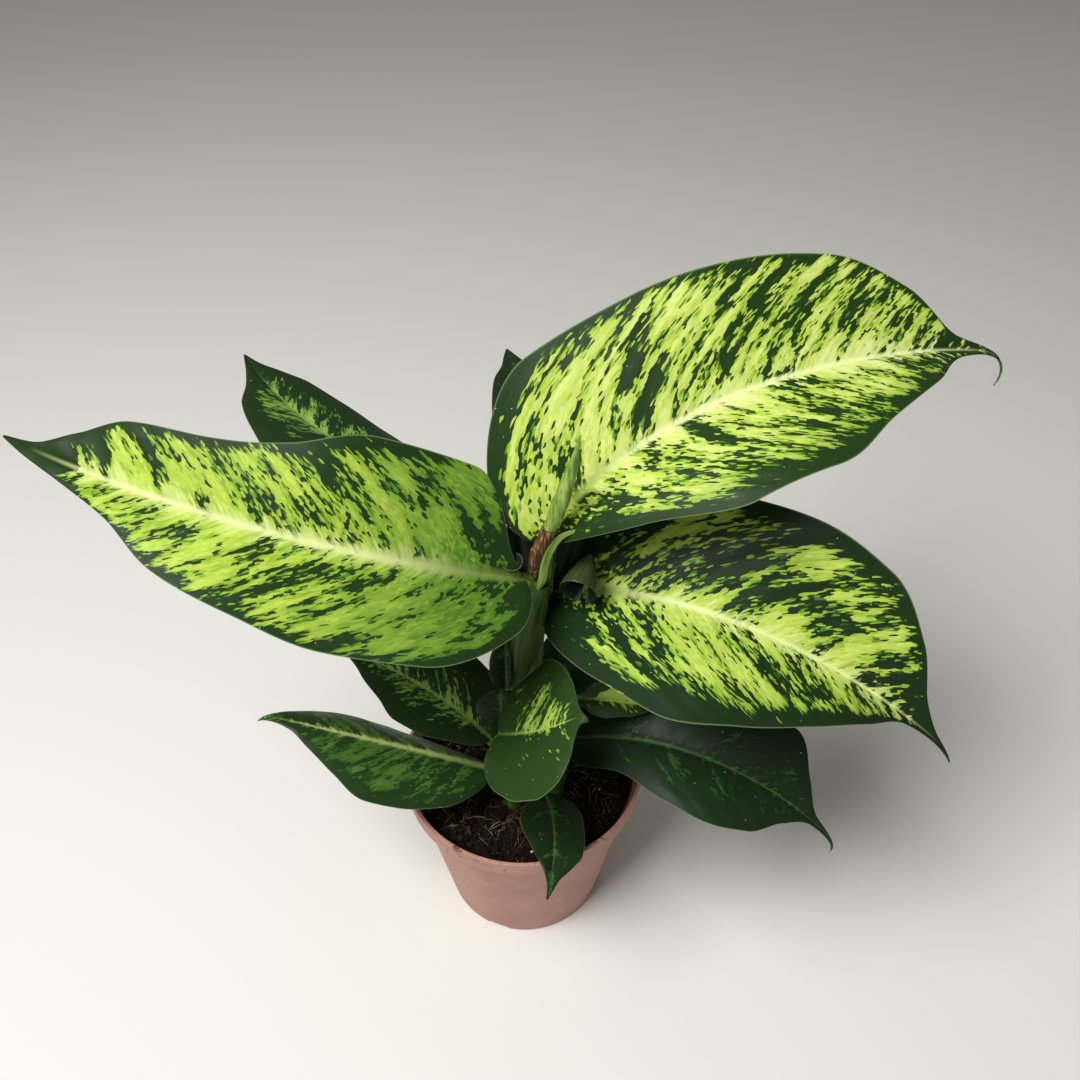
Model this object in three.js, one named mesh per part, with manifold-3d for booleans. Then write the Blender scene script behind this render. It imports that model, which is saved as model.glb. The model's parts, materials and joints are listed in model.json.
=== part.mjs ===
// Potted dieffenbachia: a plastic pot of potting mix, a main stem with five large leaves and
// a rolled new leaf, and basal shoots with eight smaller leaves.
// Millimetres, +Z up. The origin is the middle of the pot's base, on the resting surface.
// +X is to the plant's right as the big right leaves point, -Y is its front.
import * as THREE from 'three';
import Module from 'manifold-3d';

const wasm = await Module();
wasm.setup();

// Driving dimensions of the pot
const POT_RIM_RADIUS = 60;
const POT_HEIGHT = 100;
const POT_BASE_RADIUS = 42;
const POT_WALL = 1.4;
const RIM_BAND_HEIGHT = 10;
const RIM_STEP = 4.4;
const POT_NECK_RADIUS = POT_RIM_RADIUS - RIM_STEP;
const FOOT_HEIGHT = 3;
const POT_FLOOR = FOOT_HEIGHT + 2;
// Heights where the inside of the wall leaves the rounded floor and meets the rim band
const INNER_FOOT = FOOT_HEIGHT + 4;
const INNER_NECK = POT_HEIGHT - RIM_BAND_HEIGHT - 2;
const FOOT_WIDTH = 5;
const PAD_RADIUS = 12;
const POT_SIDES = 48;
const DRAIN_HOLES = 6;
const DRAIN_HOLE_RADIUS = 4;
const DRAIN_HOLE_CIRCLE = 25;
const FOOT_NOTCHES = 4;
const FOOT_NOTCH_WIDTH = 12;
const FOOT_NOTCH_HEIGHT = 2;
// The first foot notch stands a little to the left of the front
const FOOT_NOTCH_TURN = -Math.PI / 2 - 0.16;

// Driving dimensions of the potting mix
const SOIL_LEVEL = 91;
const SOIL_RINGS = 6;
const SOIL_SIDES = 32;
const SOIL_CRUMB = 1.6;
// The middle of the mix stands this much higher than its edge, which rounds over below the shoulder
const SOIL_CROWN = 1.5;
const SOIL_SHOULDER = SOIL_LEVEL - 4;

// Clearance between pieces that touch
const GAP = 0.3;
// The same between the mix and the wall, with what the flat sides of the turned pot take from it
const SOIL_CLEARANCE = GAP + 0.15;
// The plain upright hole in the mix that the drooping leaf's petiole stands in
const HOLE = { x: 9, y: -18.5, bottom: 60, top: 110, sides: 12, spare: 1 };

// Leaf blades: thickness, and how the side edges sweep back at the base and forward past it
const BLADE_THICKNESS = 0.9;
const VEIN_SWEEP = 22;
const SWEEP_LENGTH = 0.07;
// Share of the midrib past which the drip tip bends
const FLICK_FROM = 0.86;
const LEAST_HALF_WIDTH = 0.9;
// Edge waves die out where a half is narrower than this
const WAVED_FROM_WIDTH = 15;
const MIDRIB_STEPS = 96;
// Rows stand closer at the blade's two ends, and columns closer at its edges
const END_ROWS_CLOSER = 0.5;
const EDGE_COLUMNS_CLOSER = 0.9;
// Shares of the blade's length where its half widths are given
const STATIONS = [0, 0.06, 0.15, 0.28, 0.42, 0.58, 0.72, 0.84, 0.93, 1];

// Stems: a line of places with the radius there
const STEMS = {
  main_stem: {
    color: '#4f7a35',
    line: [[0, 0, 70, 7.5], [0, 0, 96, 8], [1, -1, 135, 7.2], [3, -3, 175, 6.4], [5, -4, 210, 5.6],
      [7, -5, 232, 4.6]],
  },
  left_shoot_stem: {
    color: '#5d8a3c',
    line: [[-6, -20, 74, 4.2], [-6, -20, 96, 4.4], [-8, -20, 115, 4.2], [-9, -21, 134, 3.9],
      [-8, -22, 148, 3.6]],
  },
  right_shoot_stem: {
    color: '#5d8a3c',
    line: [[16, -16, 74, 3.6], [16, -16, 96, 3.8], [18, -15, 112, 3.5], [20, -14, 127, 3.0]],
  },
};

// Leaves. foot is where the petiole leaves its stem, or the mix, and petiole its size. rows and
// columns are how finely the blade is divided, and lobe how far its base lobes reach back, in
// degrees. base is where the blade joins its petiole. heading, rise and lean are in degrees: the
// compass way that the blade points (0 is +X, 90 is +Y), its upward slope at the base, and the
// tilt about its midrib. turn, droop and twist are how much those change up to the tip, flick is
// the extra bend of the drip tip. fold lifts the two halves off the midrib and curl bends their
// edges back down. right and left are half widths in mm at the stations.
const LEAVES = {
  leaf_upper_right: {
    foot: [10, -3, 222], petiole: 3, color: '#5f9c2c', rows: 22, columns: 4, lobe: 65,
    base: [11, -4, 250], heading: 16, turn: -4, rise: 84, droop: 100, bow: 0.44, flick: 104, length: 225,
    lean: -34, twist: 15, fold: 23, tipFold: 20, curl: 8, wave: 1.2, waves: 3,
    right: [12, 30, 50, 50, 35, 20, 4, 1.5], left: [27, 54, 53, 50, 45, 27, 6, 1.5],
  },
  leaf_left: {
    foot: [3, -4, 200], petiole: 3, color: '#6aa82e', rows: 22, columns: 4, lobe: 65,
    base: [0, -12, 238], heading: 193, turn: -42, rise: 20, droop: 14, bow: 1.8, flick: 0, length: 208,
    lean: 36, twist: -4, fold: 21, tipFold: 20, curl: 7, wave: 1.4, waves: 3,
    right: [21, 45, 45, 36, 29, 25, 13, 3], left: [24, 45, 45, 39, 30, 15, 8, 4],
  },
  leaf_right: {
    foot: [3, -3, 172], petiole: 3.2, color: '#5a962c', rows: 20, columns: 4, lobe: 65,
    base: [16, 7, 209], heading: -27, turn: 4, rise: 39, droop: 78, bow: 0.65, flick: 26, length: 187,
    lean: -32, twist: 7, fold: 16, tipFold: 35, curl: 4, wave: 1.2, waves: 3,
    right: [20, 42, 55, 48, 34, 18, 4, 1.5], left: [19, 38, 51, 52, 47, 29, 10, 2],
  },
  leaf_back_left: {
    foot: [1, -2, 184], petiole: 2.5, color: '#2f5a28', rows: 14, columns: 3, lobe: 65,
    base: [-34, 46, 238], heading: 154, turn: -27, rise: 0, droop: -18, bow: 1.1, flick: -13, length: 129,
    lean: -11, twist: 1, fold: 6, tipFold: 16, curl: 25, wave: 0.6, waves: 2,
    right: [12, 24, 30, 29, 26, 22, 13, 5], left: [12, 24, 32, 33, 28, 21, 10, 4],
  },
  leaf_back: {
    foot: [8, -2, 206], petiole: 2.5, color: '#27482a', rows: 14, columns: 3, lobe: 65,
    base: [15, 28, 229], heading: 100, turn: 0, rise: 30, droop: 34, bow: 1, flick: 0, length: 112,
    lean: 0, twist: 0, fold: 14, tipFold: 14, curl: 16, wave: 0.6, waves: 2,
    right: [10, 20, 25, 25, 21, 14, 7, 3], left: [10, 19, 21, 19, 16, 12, 6, 3],
  },
  leaf_low_right: {
    foot: [19, -14, 118], petiole: 2.4, color: '#2c4d2c', rows: 15, columns: 3, lobe: 55,
    base: [24, -16, 136], heading: -19, turn: -10, rise: 31, droop: 77, bow: 0.93, flick: 64, length: 140,
    lean: -19, twist: -4, fold: 15, tipFold: 20, curl: 12, wave: 0.8, waves: 2,
    right: [8, 14, 29, 31, 25, 11, 2, 1], left: [10, 21, 29, 32, 31, 15, 3, 1],
  },
  leaf_low_left: {
    foot: [-7, -20, 104], petiole: 2.2, color: '#3f7030', rows: 14, columns: 3, lobe: 65,
    base: [-15, -18, 117], heading: 181, turn: -6, rise: 26, droop: 9, bow: 1, flick: 58, length: 113,
    lean: -13, twist: -3, fold: -14, tipFold: 14, curl: 36, wave: 0.6, waves: 2,
    right: [11, 21, 28, 27, 24, 18, 10, 4], left: [12, 25, 31, 32, 24, 14, 5, 2],
  },
  leaf_mid_left: {
    foot: [-8, -20, 118], petiole: 2, color: '#33602d', rows: 13, columns: 3, lobe: 55,
    base: [-16, -13, 134], heading: 155, turn: 12, rise: 45, droop: 33, bow: 1, flick: 25, length: 84,
    lean: 13, twist: 0, fold: 19, tipFold: 18, curl: 12, wave: 0.5, waves: 2,
    right: [9, 18, 25, 24, 20, 13, 7, 2], left: [8, 16, 24, 25, 19, 13, 6, 2],
  },
  leaf_young_front: {
    foot: [-10, -21, 136], petiole: 2, color: '#4c8431', rows: 13, columns: 3, lobe: 65,
    base: [-10, -26, 154], heading: -43, turn: 13, rise: 41, droop: -12, bow: 0.93, flick: 82, length: 63,
    lean: -30, twist: -7, fold: 18, tipFold: 6, curl: 20, wave: 0.5, waves: 2,
    right: [17, 28, 33, 33, 28, 18, 8, 3], left: [17, 27, 34, 31, 26, 19, 10, 3],
  },
  leaf_twisted: {
    foot: [2, -2, 148], petiole: 1.5, color: '#8fbf3d', rows: 12, columns: 2, lobe: 10,
    base: [25, -14, 163], heading: -10, turn: 8, rise: 8, droop: 30, bow: 1, flick: 20, length: 37,
    lean: -46, twist: 30, fold: 30, tipFold: 20, curl: 20, wave: 0, waves: 1,
    right: [4, 8, 9, 8, 7, 5, 3, 1.5], left: [4, 8, 9, 9, 7, 5, 3, 1.5],
  },
  leaf_folded: {
    foot: [-1, -3, 163], petiole: 1.5, color: '#2f5229', rows: 12, columns: 2, lobe: 10,
    base: [-8, -8, 173], heading: 205, turn: 0, rise: 76, droop: 10, bow: 1, flick: 0, length: 36,
    lean: 20, twist: 0, fold: 55, tipFold: 40, curl: 15, wave: 0, waves: 1,
    right: [3, 7, 9, 10, 9, 7, 4, 1.5], left: [3, 7, 9, 10, 9, 7, 4, 1.5],
  },
  leaf_drooping: {
    foot: [9, -18, 72], petiole: 1.8, color: '#294a28', rows: 12, columns: 3, lobe: 50,
    base: [10, -23, 101], heading: -76, turn: -30, rise: 31, droop: 41, bow: 1.06, flick: 36, length: 63,
    lean: 7, twist: 9, fold: 9, tipFold: 20, curl: 18, wave: 0.4, waves: 2,
    right: [6, 13, 17, 16, 12, 7, 3, 1], left: [6, 12, 15, 15, 14, 9, 4, 2],
  },
  leaf_tiny: {
    foot: [-10, -21, 130], petiole: 1.4, color: '#274626', rows: 10, columns: 2, lobe: 10,
    base: [-10, -12, 143], heading: 92, turn: 0, rise: 82, droop: 10, bow: 1, flick: 0, length: 22,
    lean: 0, twist: 0, fold: 16, tipFold: 16, curl: 14, wave: 0, waves: 1,
    right: [4, 6, 7, 7, 6, 5, 3, 1.2], left: [6, 10, 12, 12, 10, 7, 4, 1.5],
  },
};

const LEAF_FINISH = { roughness: 0.42, metalness: 0 };
const STEM_FINISH = { roughness: 0.5, metalness: 0 };

const radians = THREE.MathUtils.degToRad;

// A closed body from rows of points: every row has the same count, and both ends are fanned shut
function loft(rings) {
  const count = rings[0].length;
  const positions = [];
  const indices = [];
  for (const ring of rings) {
    for (const point of ring) positions.push(point.x, point.y, point.z);
  }
  for (let i = 0; i + 1 < rings.length; i++) {
    for (let j = 0; j < count; j++) {
      const a = i * count + j;
      const b = i * count + (j + 1) % count;
      indices.push(a, b, b + count, a, b + count, a + count);
    }
  }
  const ends = [[rings[0], 0, false], [rings.at(-1), (rings.length - 1) * count, true]];
  for (const [ring, first, outward] of ends) {
    const middle = new THREE.Vector3();
    for (const point of ring) middle.addScaledVector(point, 1 / count);
    const centre = positions.length / 3;
    positions.push(middle.x, middle.y, middle.z);
    for (let j = 0; j < count; j++) {
      const a = first + j;
      const b = first + (j + 1) % count;
      if (outward) indices.push(a, b, centre);
      else indices.push(b, a, centre);
    }
  }
  return solid(positions, indices);
}

function solid(positions, indices) {
  const mesh = new wasm.Mesh({
    numProp: 3,
    vertProperties: new Float32Array(positions),
    triVerts: new Uint32Array(indices),
  });
  return new wasm.Manifold(mesh);
}

// The solid of a closed three.js geometry
function solidOf(geometry) {
  const seen = new Map();
  const positions = [];
  const place = geometry.getAttribute('position');
  const plain = Array.from({ length: place.count }, (_, i) => i);
  const order = geometry.index ? Array.from(geometry.index.array) : plain;
  const merged = order.map((i) => {
    const point = [place.getX(i), place.getY(i), place.getZ(i)];
    const key = point.map((value) => Math.round(value * 1e4)).join(' ');
    if (!seen.has(key)) {
      seen.set(key, positions.length / 3);
      positions.push(...point);
    }
    return seen.get(key);
  });
  const indices = [];
  for (let i = 0; i < merged.length; i += 3) {
    const [a, b, c] = merged.slice(i, i + 3);
    if (a !== b && b !== c && a !== c) indices.push(a, b, c);
  }
  return solid(positions, indices);
}

// A body turned about +Z from a closed profile of [radius, height] pairs
function turned(profile, sides) {
  const points = profile.map(([radius, height]) => new THREE.Vector2(radius, height));
  const geometry = new THREE.LatheGeometry(points, sides);
  geometry.rotateX(Math.PI / 2);
  return solidOf(geometry);
}

function cylinder(radius, bottom, top, sides, x = 0, y = 0) {
  const geometry = new THREE.CylinderGeometry(radius, radius, top - bottom, sides);
  geometry.rotateX(Math.PI / 2);
  geometry.translate(x, y, (top + bottom) / 2);
  return solidOf(geometry);
}

// The mesh of a solid, in its own colour
function piece(name, body, color, finish) {
  const result = body.getMesh();
  const geometry = new THREE.BufferGeometry();
  geometry.setAttribute('position', new THREE.Float32BufferAttribute(result.vertProperties, 3));
  geometry.setIndex(Array.from(result.triVerts));
  geometry.computeVertexNormals();
  const mesh = new THREE.Mesh(geometry, new THREE.MeshStandardMaterial({ color, ...finish }));
  mesh.name = name;
  return mesh;
}

// A smooth value through a leaf's half widths, that never overshoots them
function halfWidth(widths, t) {
  const values = [LEAST_HALF_WIDTH, ...widths, LEAST_HALF_WIDTH / 2];
  let i = 0;
  while (i < STATIONS.length - 2 && t > STATIONS[i + 1]) i++;
  const slope = (k) => (values[k + 1] - values[k]) / (STATIONS[k + 1] - STATIONS[k]);
  const tangent = (k) => {
    if (k === 0) return slope(0);
    if (k === STATIONS.length - 1) return slope(k - 1);
    const before = slope(k - 1);
    const after = slope(k);
    return before * after <= 0 ? 0 : 2 * before * after / (before + after);
  };
  const span = STATIONS[i + 1] - STATIONS[i];
  const u = (t - STATIONS[i]) / span;
  const from = tangent(i) * span;
  const to = tangent(i + 1) * span;
  return values[i] * (1 + 2 * u) * (1 - u) ** 2 + from * u * (1 - u) ** 2
    + values[i + 1] * u * u * (3 - 2 * u) + to * u * u * (u - 1);
}

// Which way the midrib runs at share t of its length
function midribDirection(leaf, t) {
  const drip = Math.max(0, (t - FLICK_FROM) / (1 - FLICK_FROM)) ** 2;
  const rise = radians(leaf.rise - leaf.droop * t ** leaf.bow - leaf.flick * drip);
  const heading = radians(leaf.heading + leaf.turn * t);
  const along = new THREE.Vector3(
    Math.cos(rise) * Math.cos(heading),
    Math.cos(rise) * Math.sin(heading),
    Math.sin(rise),
  );
  return { along, level: new THREE.Vector3(Math.sin(heading), -Math.cos(heading), 0) };
}

// Places and directions along the midrib: along it, across to the right half, and up off the face
function midribFrames(leaf) {
  const frames = [];
  const place = new THREE.Vector3(...leaf.base);
  for (let i = 0; i <= MIDRIB_STEPS; i++) {
    const t = i / MIDRIB_STEPS;
    const { along, level } = midribDirection(leaf, t);
    const normal = level.clone().cross(along);
    const lean = radians(leaf.lean + leaf.twist * t);
    const across = level.clone().multiplyScalar(Math.cos(lean)).addScaledVector(normal, Math.sin(lean));
    const up = normal.clone().multiplyScalar(Math.cos(lean)).addScaledVector(level, -Math.sin(lean));
    frames.push({ place: place.clone(), along, across, up });
    const step = midribDirection(leaf, Math.min(1, t + 0.5 / MIDRIB_STEPS)).along;
    place.addScaledVector(step, leaf.length / MIDRIB_STEPS);
  }
  return frames;
}

function frameAt(frames, t) {
  const i = Math.min(MIDRIB_STEPS - 1, Math.floor(t * MIDRIB_STEPS));
  const u = t * MIDRIB_STEPS - i;
  const mix = (key) => frames[i][key].clone().lerp(frames[i + 1][key], u);
  return { place: mix('place'), along: mix('along'), across: mix('across'), up: mix('up') };
}

// A point of the blade's middle surface: t along the midrib, s from -1 at the left edge to 1 at the right
function bladePoint(leaf, frames, t, s) {
  const { place, along, across, up } = frameAt(frames, t);
  const width = halfWidth(s > 0 ? leaf.right : leaf.left, t);
  const fold = radians(leaf.fold + (leaf.tipFold - leaf.fold) * t);
  const curl = radians(leaf.curl);
  const out = Math.abs(s);
  const sideways = width * (Math.sin(fold) - Math.sin(fold - curl * out)) / curl;
  const ripple = leaf.wave * out * out * Math.min(1, width / WAVED_FROM_WIDTH)
    * Math.sin(2 * Math.PI * (leaf.waves * t + (s > 0 ? 0.25 : 0)));
  const lift = width * (Math.cos(fold - curl * out) - Math.cos(fold)) / curl + ripple;
  const sweep = radians(VEIN_SWEEP - (VEIN_SWEEP + leaf.lobe) * Math.exp(-t / SWEEP_LENGTH));
  return place
    .addScaledVector(across, Math.sign(s) * sideways * Math.cos(sweep))
    .addScaledVector(along, sideways * Math.sin(sweep))
    .addScaledVector(up, lift);
}

// The blade: a waved sheet of even thickness, split into the same triangles on both faces
function blade(leaf, frames) {
  const rows = leaf.rows;
  const columns = 2 * leaf.columns;
  const stationOf = (i) => {
    const u = i / rows;
    return u - END_ROWS_CLOSER / (2 * Math.PI) * Math.sin(2 * Math.PI * u);
  };
  const shareOf = (j) => {
    const s = j / leaf.columns - 1;
    return Math.sign(s) * Math.abs(s) ** EDGE_COLUMNS_CLOSER;
  };
  const grid = [];
  for (let i = 0; i <= rows; i++) {
    const row = [];
    for (let j = 0; j <= columns; j++) row.push(bladePoint(leaf, frames, stationOf(i), shareOf(j)));
    grid.push(row);
  }
  const positions = [];
  for (const face of [0.5, -0.5]) {
    for (let i = 0; i <= rows; i++) {
      for (let j = 0; j <= columns; j++) {
        const down = grid[Math.min(rows, i + 1)][j].clone().sub(grid[Math.max(0, i - 1)][j]);
        const sideways = grid[i][Math.min(columns, j + 1)].clone().sub(grid[i][Math.max(0, j - 1)]);
        const normal = sideways.cross(down).normalize();
        const point = grid[i][j].clone().addScaledVector(normal, face * BLADE_THICKNESS);
        positions.push(point.x, point.y, point.z);
      }
    }
  }
  const wide = columns + 1;
  const under = (rows + 1) * wide;
  const indices = [];
  for (let i = 0; i < rows; i++) {
    for (let j = 0; j < columns; j++) {
      const a = i * wide + j;
      const [b, c, d] = [a + 1, a + wide, a + wide + 1];
      indices.push(a, b, d, a, d, c);
      indices.push(a + under, d + under, b + under, a + under, c + under, d + under);
    }
  }
  const rim = [];
  for (let j = 0; j < columns; j++) rim.push([j, j + 1]);
  for (let i = 0; i < rows; i++) rim.push([i * wide + columns, (i + 1) * wide + columns]);
  for (let j = columns; j > 0; j--) rim.push([rows * wide + j, rows * wide + j - 1]);
  for (let i = rows; i > 0; i--) rim.push([i * wide, (i - 1) * wide]);
  for (const [a, b] of rim) indices.push(b, a, a + under, b, a + under, b + under);
  return solid(positions, indices);
}

// The petiole, channelled on top, that runs on under the blade as its thick midrib. Its radius at
// the foot, at the blade and at the rib's end are shares of the leaf's petiole size, and so is how
// far it lies under the blade. The bed is how high the channel's floor stands, as a share of the radius.
const RIB_END = 0.42;
const RIB_RINGS = 6;
const PETIOLE_RINGS = 8;
const PETIOLE_FOOT = 1.25;
const PETIOLE_HEAD = 0.95;
const RIB_HEAD = 0.9;
const RIB_TAIL = 0.25;
const PETIOLE_SUNK = 0.5;
const RIB_SUNK = 0.55;
const CHANNEL_HALF_ANGLE = 42;
const CHANNEL_SIDES = 6;
const OPEN_BED = 0.25;
const FLAT_BED = 0.74;
// How stiffly the petiole rises from its foot and arrives at the blade, as shares of its reach
const RISES = 0.45;
const ARRIVES = 0.4;

function channelSection(place, along, face, radius, bed) {
  const up = face.clone().addScaledVector(along, -face.dot(along)).normalize();
  const across = along.clone().cross(up);
  const ring = [];
  for (let k = 0; k <= CHANNEL_SIDES; k++) {
    const angle = radians(CHANNEL_HALF_ANGLE + (360 - 2 * CHANNEL_HALF_ANGLE) * k / CHANNEL_SIDES);
    ring.push(place.clone().addScaledVector(up, radius * Math.cos(angle))
      .addScaledVector(across, radius * Math.sin(angle)));
  }
  ring.push(place.clone().addScaledVector(up, radius * bed));
  return ring;
}

function petiole(leaf, frames) {
  const foot = new THREE.Vector3(...leaf.foot);
  const start = frames[0];
  const reach = foot.distanceTo(start.place);
  const rising = foot.clone().add(new THREE.Vector3(0, 0, reach * RISES));
  const arriving = start.place.clone().addScaledVector(start.along, -reach * ARRIVES);
  const path = new THREE.CubicBezierCurve3(foot, rising, arriving, start.place);
  const outward = start.place.clone().sub(foot).setZ(0);
  const inward = outward.length() > 1 ? outward.negate().normalize() : start.up.clone();
  const rings = [];
  for (let i = 0; i < PETIOLE_RINGS; i++) {
    const u = i / PETIOLE_RINGS;
    const face = inward.clone().lerp(start.up, u);
    const sunk = path.getPoint(u).addScaledVector(start.up, -leaf.petiole * PETIOLE_SUNK * u);
    const radius = leaf.petiole * (PETIOLE_FOOT + (PETIOLE_HEAD - PETIOLE_FOOT) * u);
    const bed = OPEN_BED + (FLAT_BED - OPEN_BED) * u;
    rings.push(channelSection(sunk, path.getTangent(u), face, radius, bed));
  }
  for (let i = 0; i <= RIB_RINGS; i++) {
    const t = RIB_END * i / RIB_RINGS;
    const frame = frameAt(frames, t);
    const radius = leaf.petiole * (RIB_HEAD + (RIB_TAIL - RIB_HEAD) * i / RIB_RINGS);
    const sunk = frame.place.clone().addScaledVector(frame.up, -radius * RIB_SUNK);
    rings.push(channelSection(sunk, frame.along, frame.up, radius, FLAT_BED));
  }
  return loft(rings);
}

// A stem: rings of sides round a smooth line, with the scar of an old leaf every so often
const STEM_SIDES = 10;
const STEM_RINGS = 16;
const SCAR_SPACING = 13;
const SCAR_HEIGHT = 0.25;

function stem(line, extra) {
  const path = new THREE.CatmullRomCurve3(line.map(([x, y, z]) => new THREE.Vector3(x, y, z)));
  const rings = [];
  for (let i = 0; i <= STEM_RINGS; i++) {
    const u = i / STEM_RINGS;
    const place = path.getPoint(u);
    const along = path.getTangent(u);
    const at = u * (line.length - 1);
    const k = Math.min(line.length - 2, Math.floor(at));
    const plain = line[k][3] + (line[k + 1][3] - line[k][3]) * (at - k);
    const radius = plain + extra + SCAR_HEIGHT * Math.cos(2 * Math.PI * place.z / SCAR_SPACING);
    if (i === 0) place.addScaledVector(along, -extra);
    if (i === STEM_RINGS) place.addScaledVector(along, extra);
    const across = new THREE.Vector3(0, 1, 0).cross(along).normalize();
    const other = along.clone().cross(across);
    const ring = [];
    for (let j = 0; j < STEM_SIDES; j++) {
      const angle = 2 * Math.PI * j / STEM_SIDES;
      ring.push(place.clone().addScaledVector(across, radius * Math.cos(angle))
        .addScaledVector(other, radius * Math.sin(angle)));
    }
    rings.push(ring);
  }
  return loft(rings);
}

// The pot: tapered wall, rim band, foot ring with notches, a flat pad in the middle, drain holes
function pot() {
  const under = POT_HEIGHT - RIM_BAND_HEIGHT;
  const profile = [
    [0, 0], [PAD_RADIUS, 0], [PAD_RADIUS + 2, FOOT_HEIGHT],
    [POT_BASE_RADIUS - FOOT_WIDTH - 1, FOOT_HEIGHT], [POT_BASE_RADIUS - FOOT_WIDTH, 0],
    [POT_BASE_RADIUS - 1, 0], [POT_BASE_RADIUS, 1],
    [POT_NECK_RADIUS, under], [POT_RIM_RADIUS - 0.4, under + 0.6], [POT_RIM_RADIUS, POT_HEIGHT - 1],
    [POT_RIM_RADIUS - 0.5, POT_HEIGHT], [POT_RIM_RADIUS - POT_WALL - 0.6, POT_HEIGHT],
    [POT_NECK_RADIUS - POT_WALL, INNER_NECK], [POT_BASE_RADIUS - POT_WALL, INNER_FOOT],
    [POT_BASE_RADIUS - POT_WALL - 2, POT_FLOOR], [0, POT_FLOOR],
  ];
  let body = turned(profile, POT_SIDES);
  for (let k = 0; k < DRAIN_HOLES; k++) {
    const angle = 2 * Math.PI * (k + 0.5) / DRAIN_HOLES;
    const [x, y] = [DRAIN_HOLE_CIRCLE * Math.cos(angle), DRAIN_HOLE_CIRCLE * Math.sin(angle)];
    body = body.subtract(cylinder(DRAIN_HOLE_RADIUS, -1, FOOT_HEIGHT + 5, 12, x, y));
  }
  for (let k = 0; k < FOOT_NOTCHES; k++) {
    const notch = new THREE.BoxGeometry(2 * FOOT_WIDTH + 6, FOOT_NOTCH_WIDTH, 2 * FOOT_NOTCH_HEIGHT);
    notch.translate(POT_BASE_RADIUS - FOOT_WIDTH / 2, 0, 0);
    notch.rotateZ(FOOT_NOTCH_TURN + 2 * Math.PI * k / FOOT_NOTCHES);
    body = body.subtract(solidOf(notch));
  }
  return body;
}

// The potting mix: fills the pot, with an uneven crumbly top
function soil() {
  const floor = POT_FLOOR + GAP;
  const low = POT_BASE_RADIUS - POT_WALL;
  const neck = POT_NECK_RADIUS - POT_WALL;
  const inside = (z) => {
    const share = (z - INNER_FOOT) / (INNER_NECK - INNER_FOOT);
    return low + (neck - low) * Math.min(1, share) - SOIL_CLEARANCE;
  };
  const crumb = (x, y) => SOIL_CRUMB * (0.5 * Math.sin(0.31 * x + 1.3) * Math.sin(0.27 * y + 0.4)
    + 0.3 * Math.sin(0.83 * x - 0.6 * y) + 0.2 * Math.cos(0.71 * y + 0.9 * x));
  const ring = (radius, z, rough) => {
    const points = [];
    for (let j = 0; j < SOIL_SIDES; j++) {
      const angle = 2 * Math.PI * j / SOIL_SIDES;
      const [x, y] = [radius * Math.cos(angle), radius * Math.sin(angle)];
      points.push(new THREE.Vector3(x, y, z + (rough ? crumb(x, y) : 0)));
    }
    return points;
  };
  const rings = [
    ring(low - 2.6, floor, false),
    ring(inside(INNER_FOOT + 1), INNER_FOOT + 1, false),
    ring(inside(SOIL_SHOULDER), SOIL_SHOULDER, false),
  ];
  const top = inside(SOIL_SHOULDER) - 0.6;
  for (let i = 0; i < SOIL_RINGS; i++) {
    const share = 1 - i / SOIL_RINGS;
    rings.push(ring(top * share, SOIL_LEVEL - SOIL_CROWN * share * share, true));
  }
  return loft(rings);
}

// The rolled new leaf: a slender spear, widest low down, with its free edge standing off at one side
const SPEAR = {
  foot: [12, -10, 262.4], middle: [19, -11, 284], tip: [22, -13, 308],
  radius: 3.3, least: 0.35, rings: 12, sides: 10, edge: 0.45, turn: 1.4,
};

function bentLine({ foot, middle, tip }) {
  const places = [foot, middle, tip].map((place) => new THREE.Vector3(...place));
  return new THREE.QuadraticBezierCurve3(...places);
}

function spear() {
  const path = bentLine(SPEAR);
  const rings = [];
  for (let i = 0; i <= SPEAR.rings; i++) {
    const u = i / SPEAR.rings;
    const place = path.getPoint(u);
    const along = path.getTangent(u);
    const across = new THREE.Vector3(0, 1, 0).cross(along).normalize();
    const other = along.clone().cross(across);
    const full = 0.35 + 0.65 * Math.sin(Math.PI * Math.min(1, 0.25 + 0.9 * u)) ** 0.8;
    const swell = SPEAR.radius * full * (1 - u ** 6) + SPEAR.least;
    const ring = [];
    for (let j = 0; j < SPEAR.sides; j++) {
      const angle = 2 * Math.PI * j / SPEAR.sides;
      const lip = j === 0 ? 1 + SPEAR.edge * Math.sin(Math.PI * u) : 1;
      const turn = angle + SPEAR.turn * u;
      ring.push(place.clone().addScaledVector(across, swell * lip * Math.cos(turn))
        .addScaledVector(other, swell * lip * Math.sin(turn)));
    }
    rings.push(ring);
  }
  return loft(rings);
}

// The dry brown sheath round the foot of the new leaf: a creased, tapering wrap
const SHEATH = {
  foot: [6, -6, 231], middle: [5, -10, 246], tip: [12, -10, 262],
  low: 3.6, high: 3.2, rings: 7, sides: 9, crease: 0.82,
};

function drySheath(extra) {
  const path = bentLine(SHEATH);
  const rings = [];
  for (let i = 0; i <= SHEATH.rings; i++) {
    const u = i / SHEATH.rings;
    const place = path.getPoint(u);
    const along = path.getTangent(u);
    if (i === SHEATH.rings) place.addScaledVector(along, extra);
    const across = new THREE.Vector3(0, 1, 0).cross(along).normalize();
    const other = along.clone().cross(across);
    const ring = [];
    for (let j = 0; j < SHEATH.sides; j++) {
      const angle = 2 * Math.PI * j / SHEATH.sides;
      const crease = j % 3 === 0 ? SHEATH.crease : 1;
      const radius = (SHEATH.low + (SHEATH.high - SHEATH.low) * u) * crease + extra;
      ring.push(place.clone().addScaledVector(across, radius * Math.cos(angle))
        .addScaledVector(other, radius * Math.sin(angle)));
    }
    rings.push(ring);
  }
  return loft(rings);
}

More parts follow.
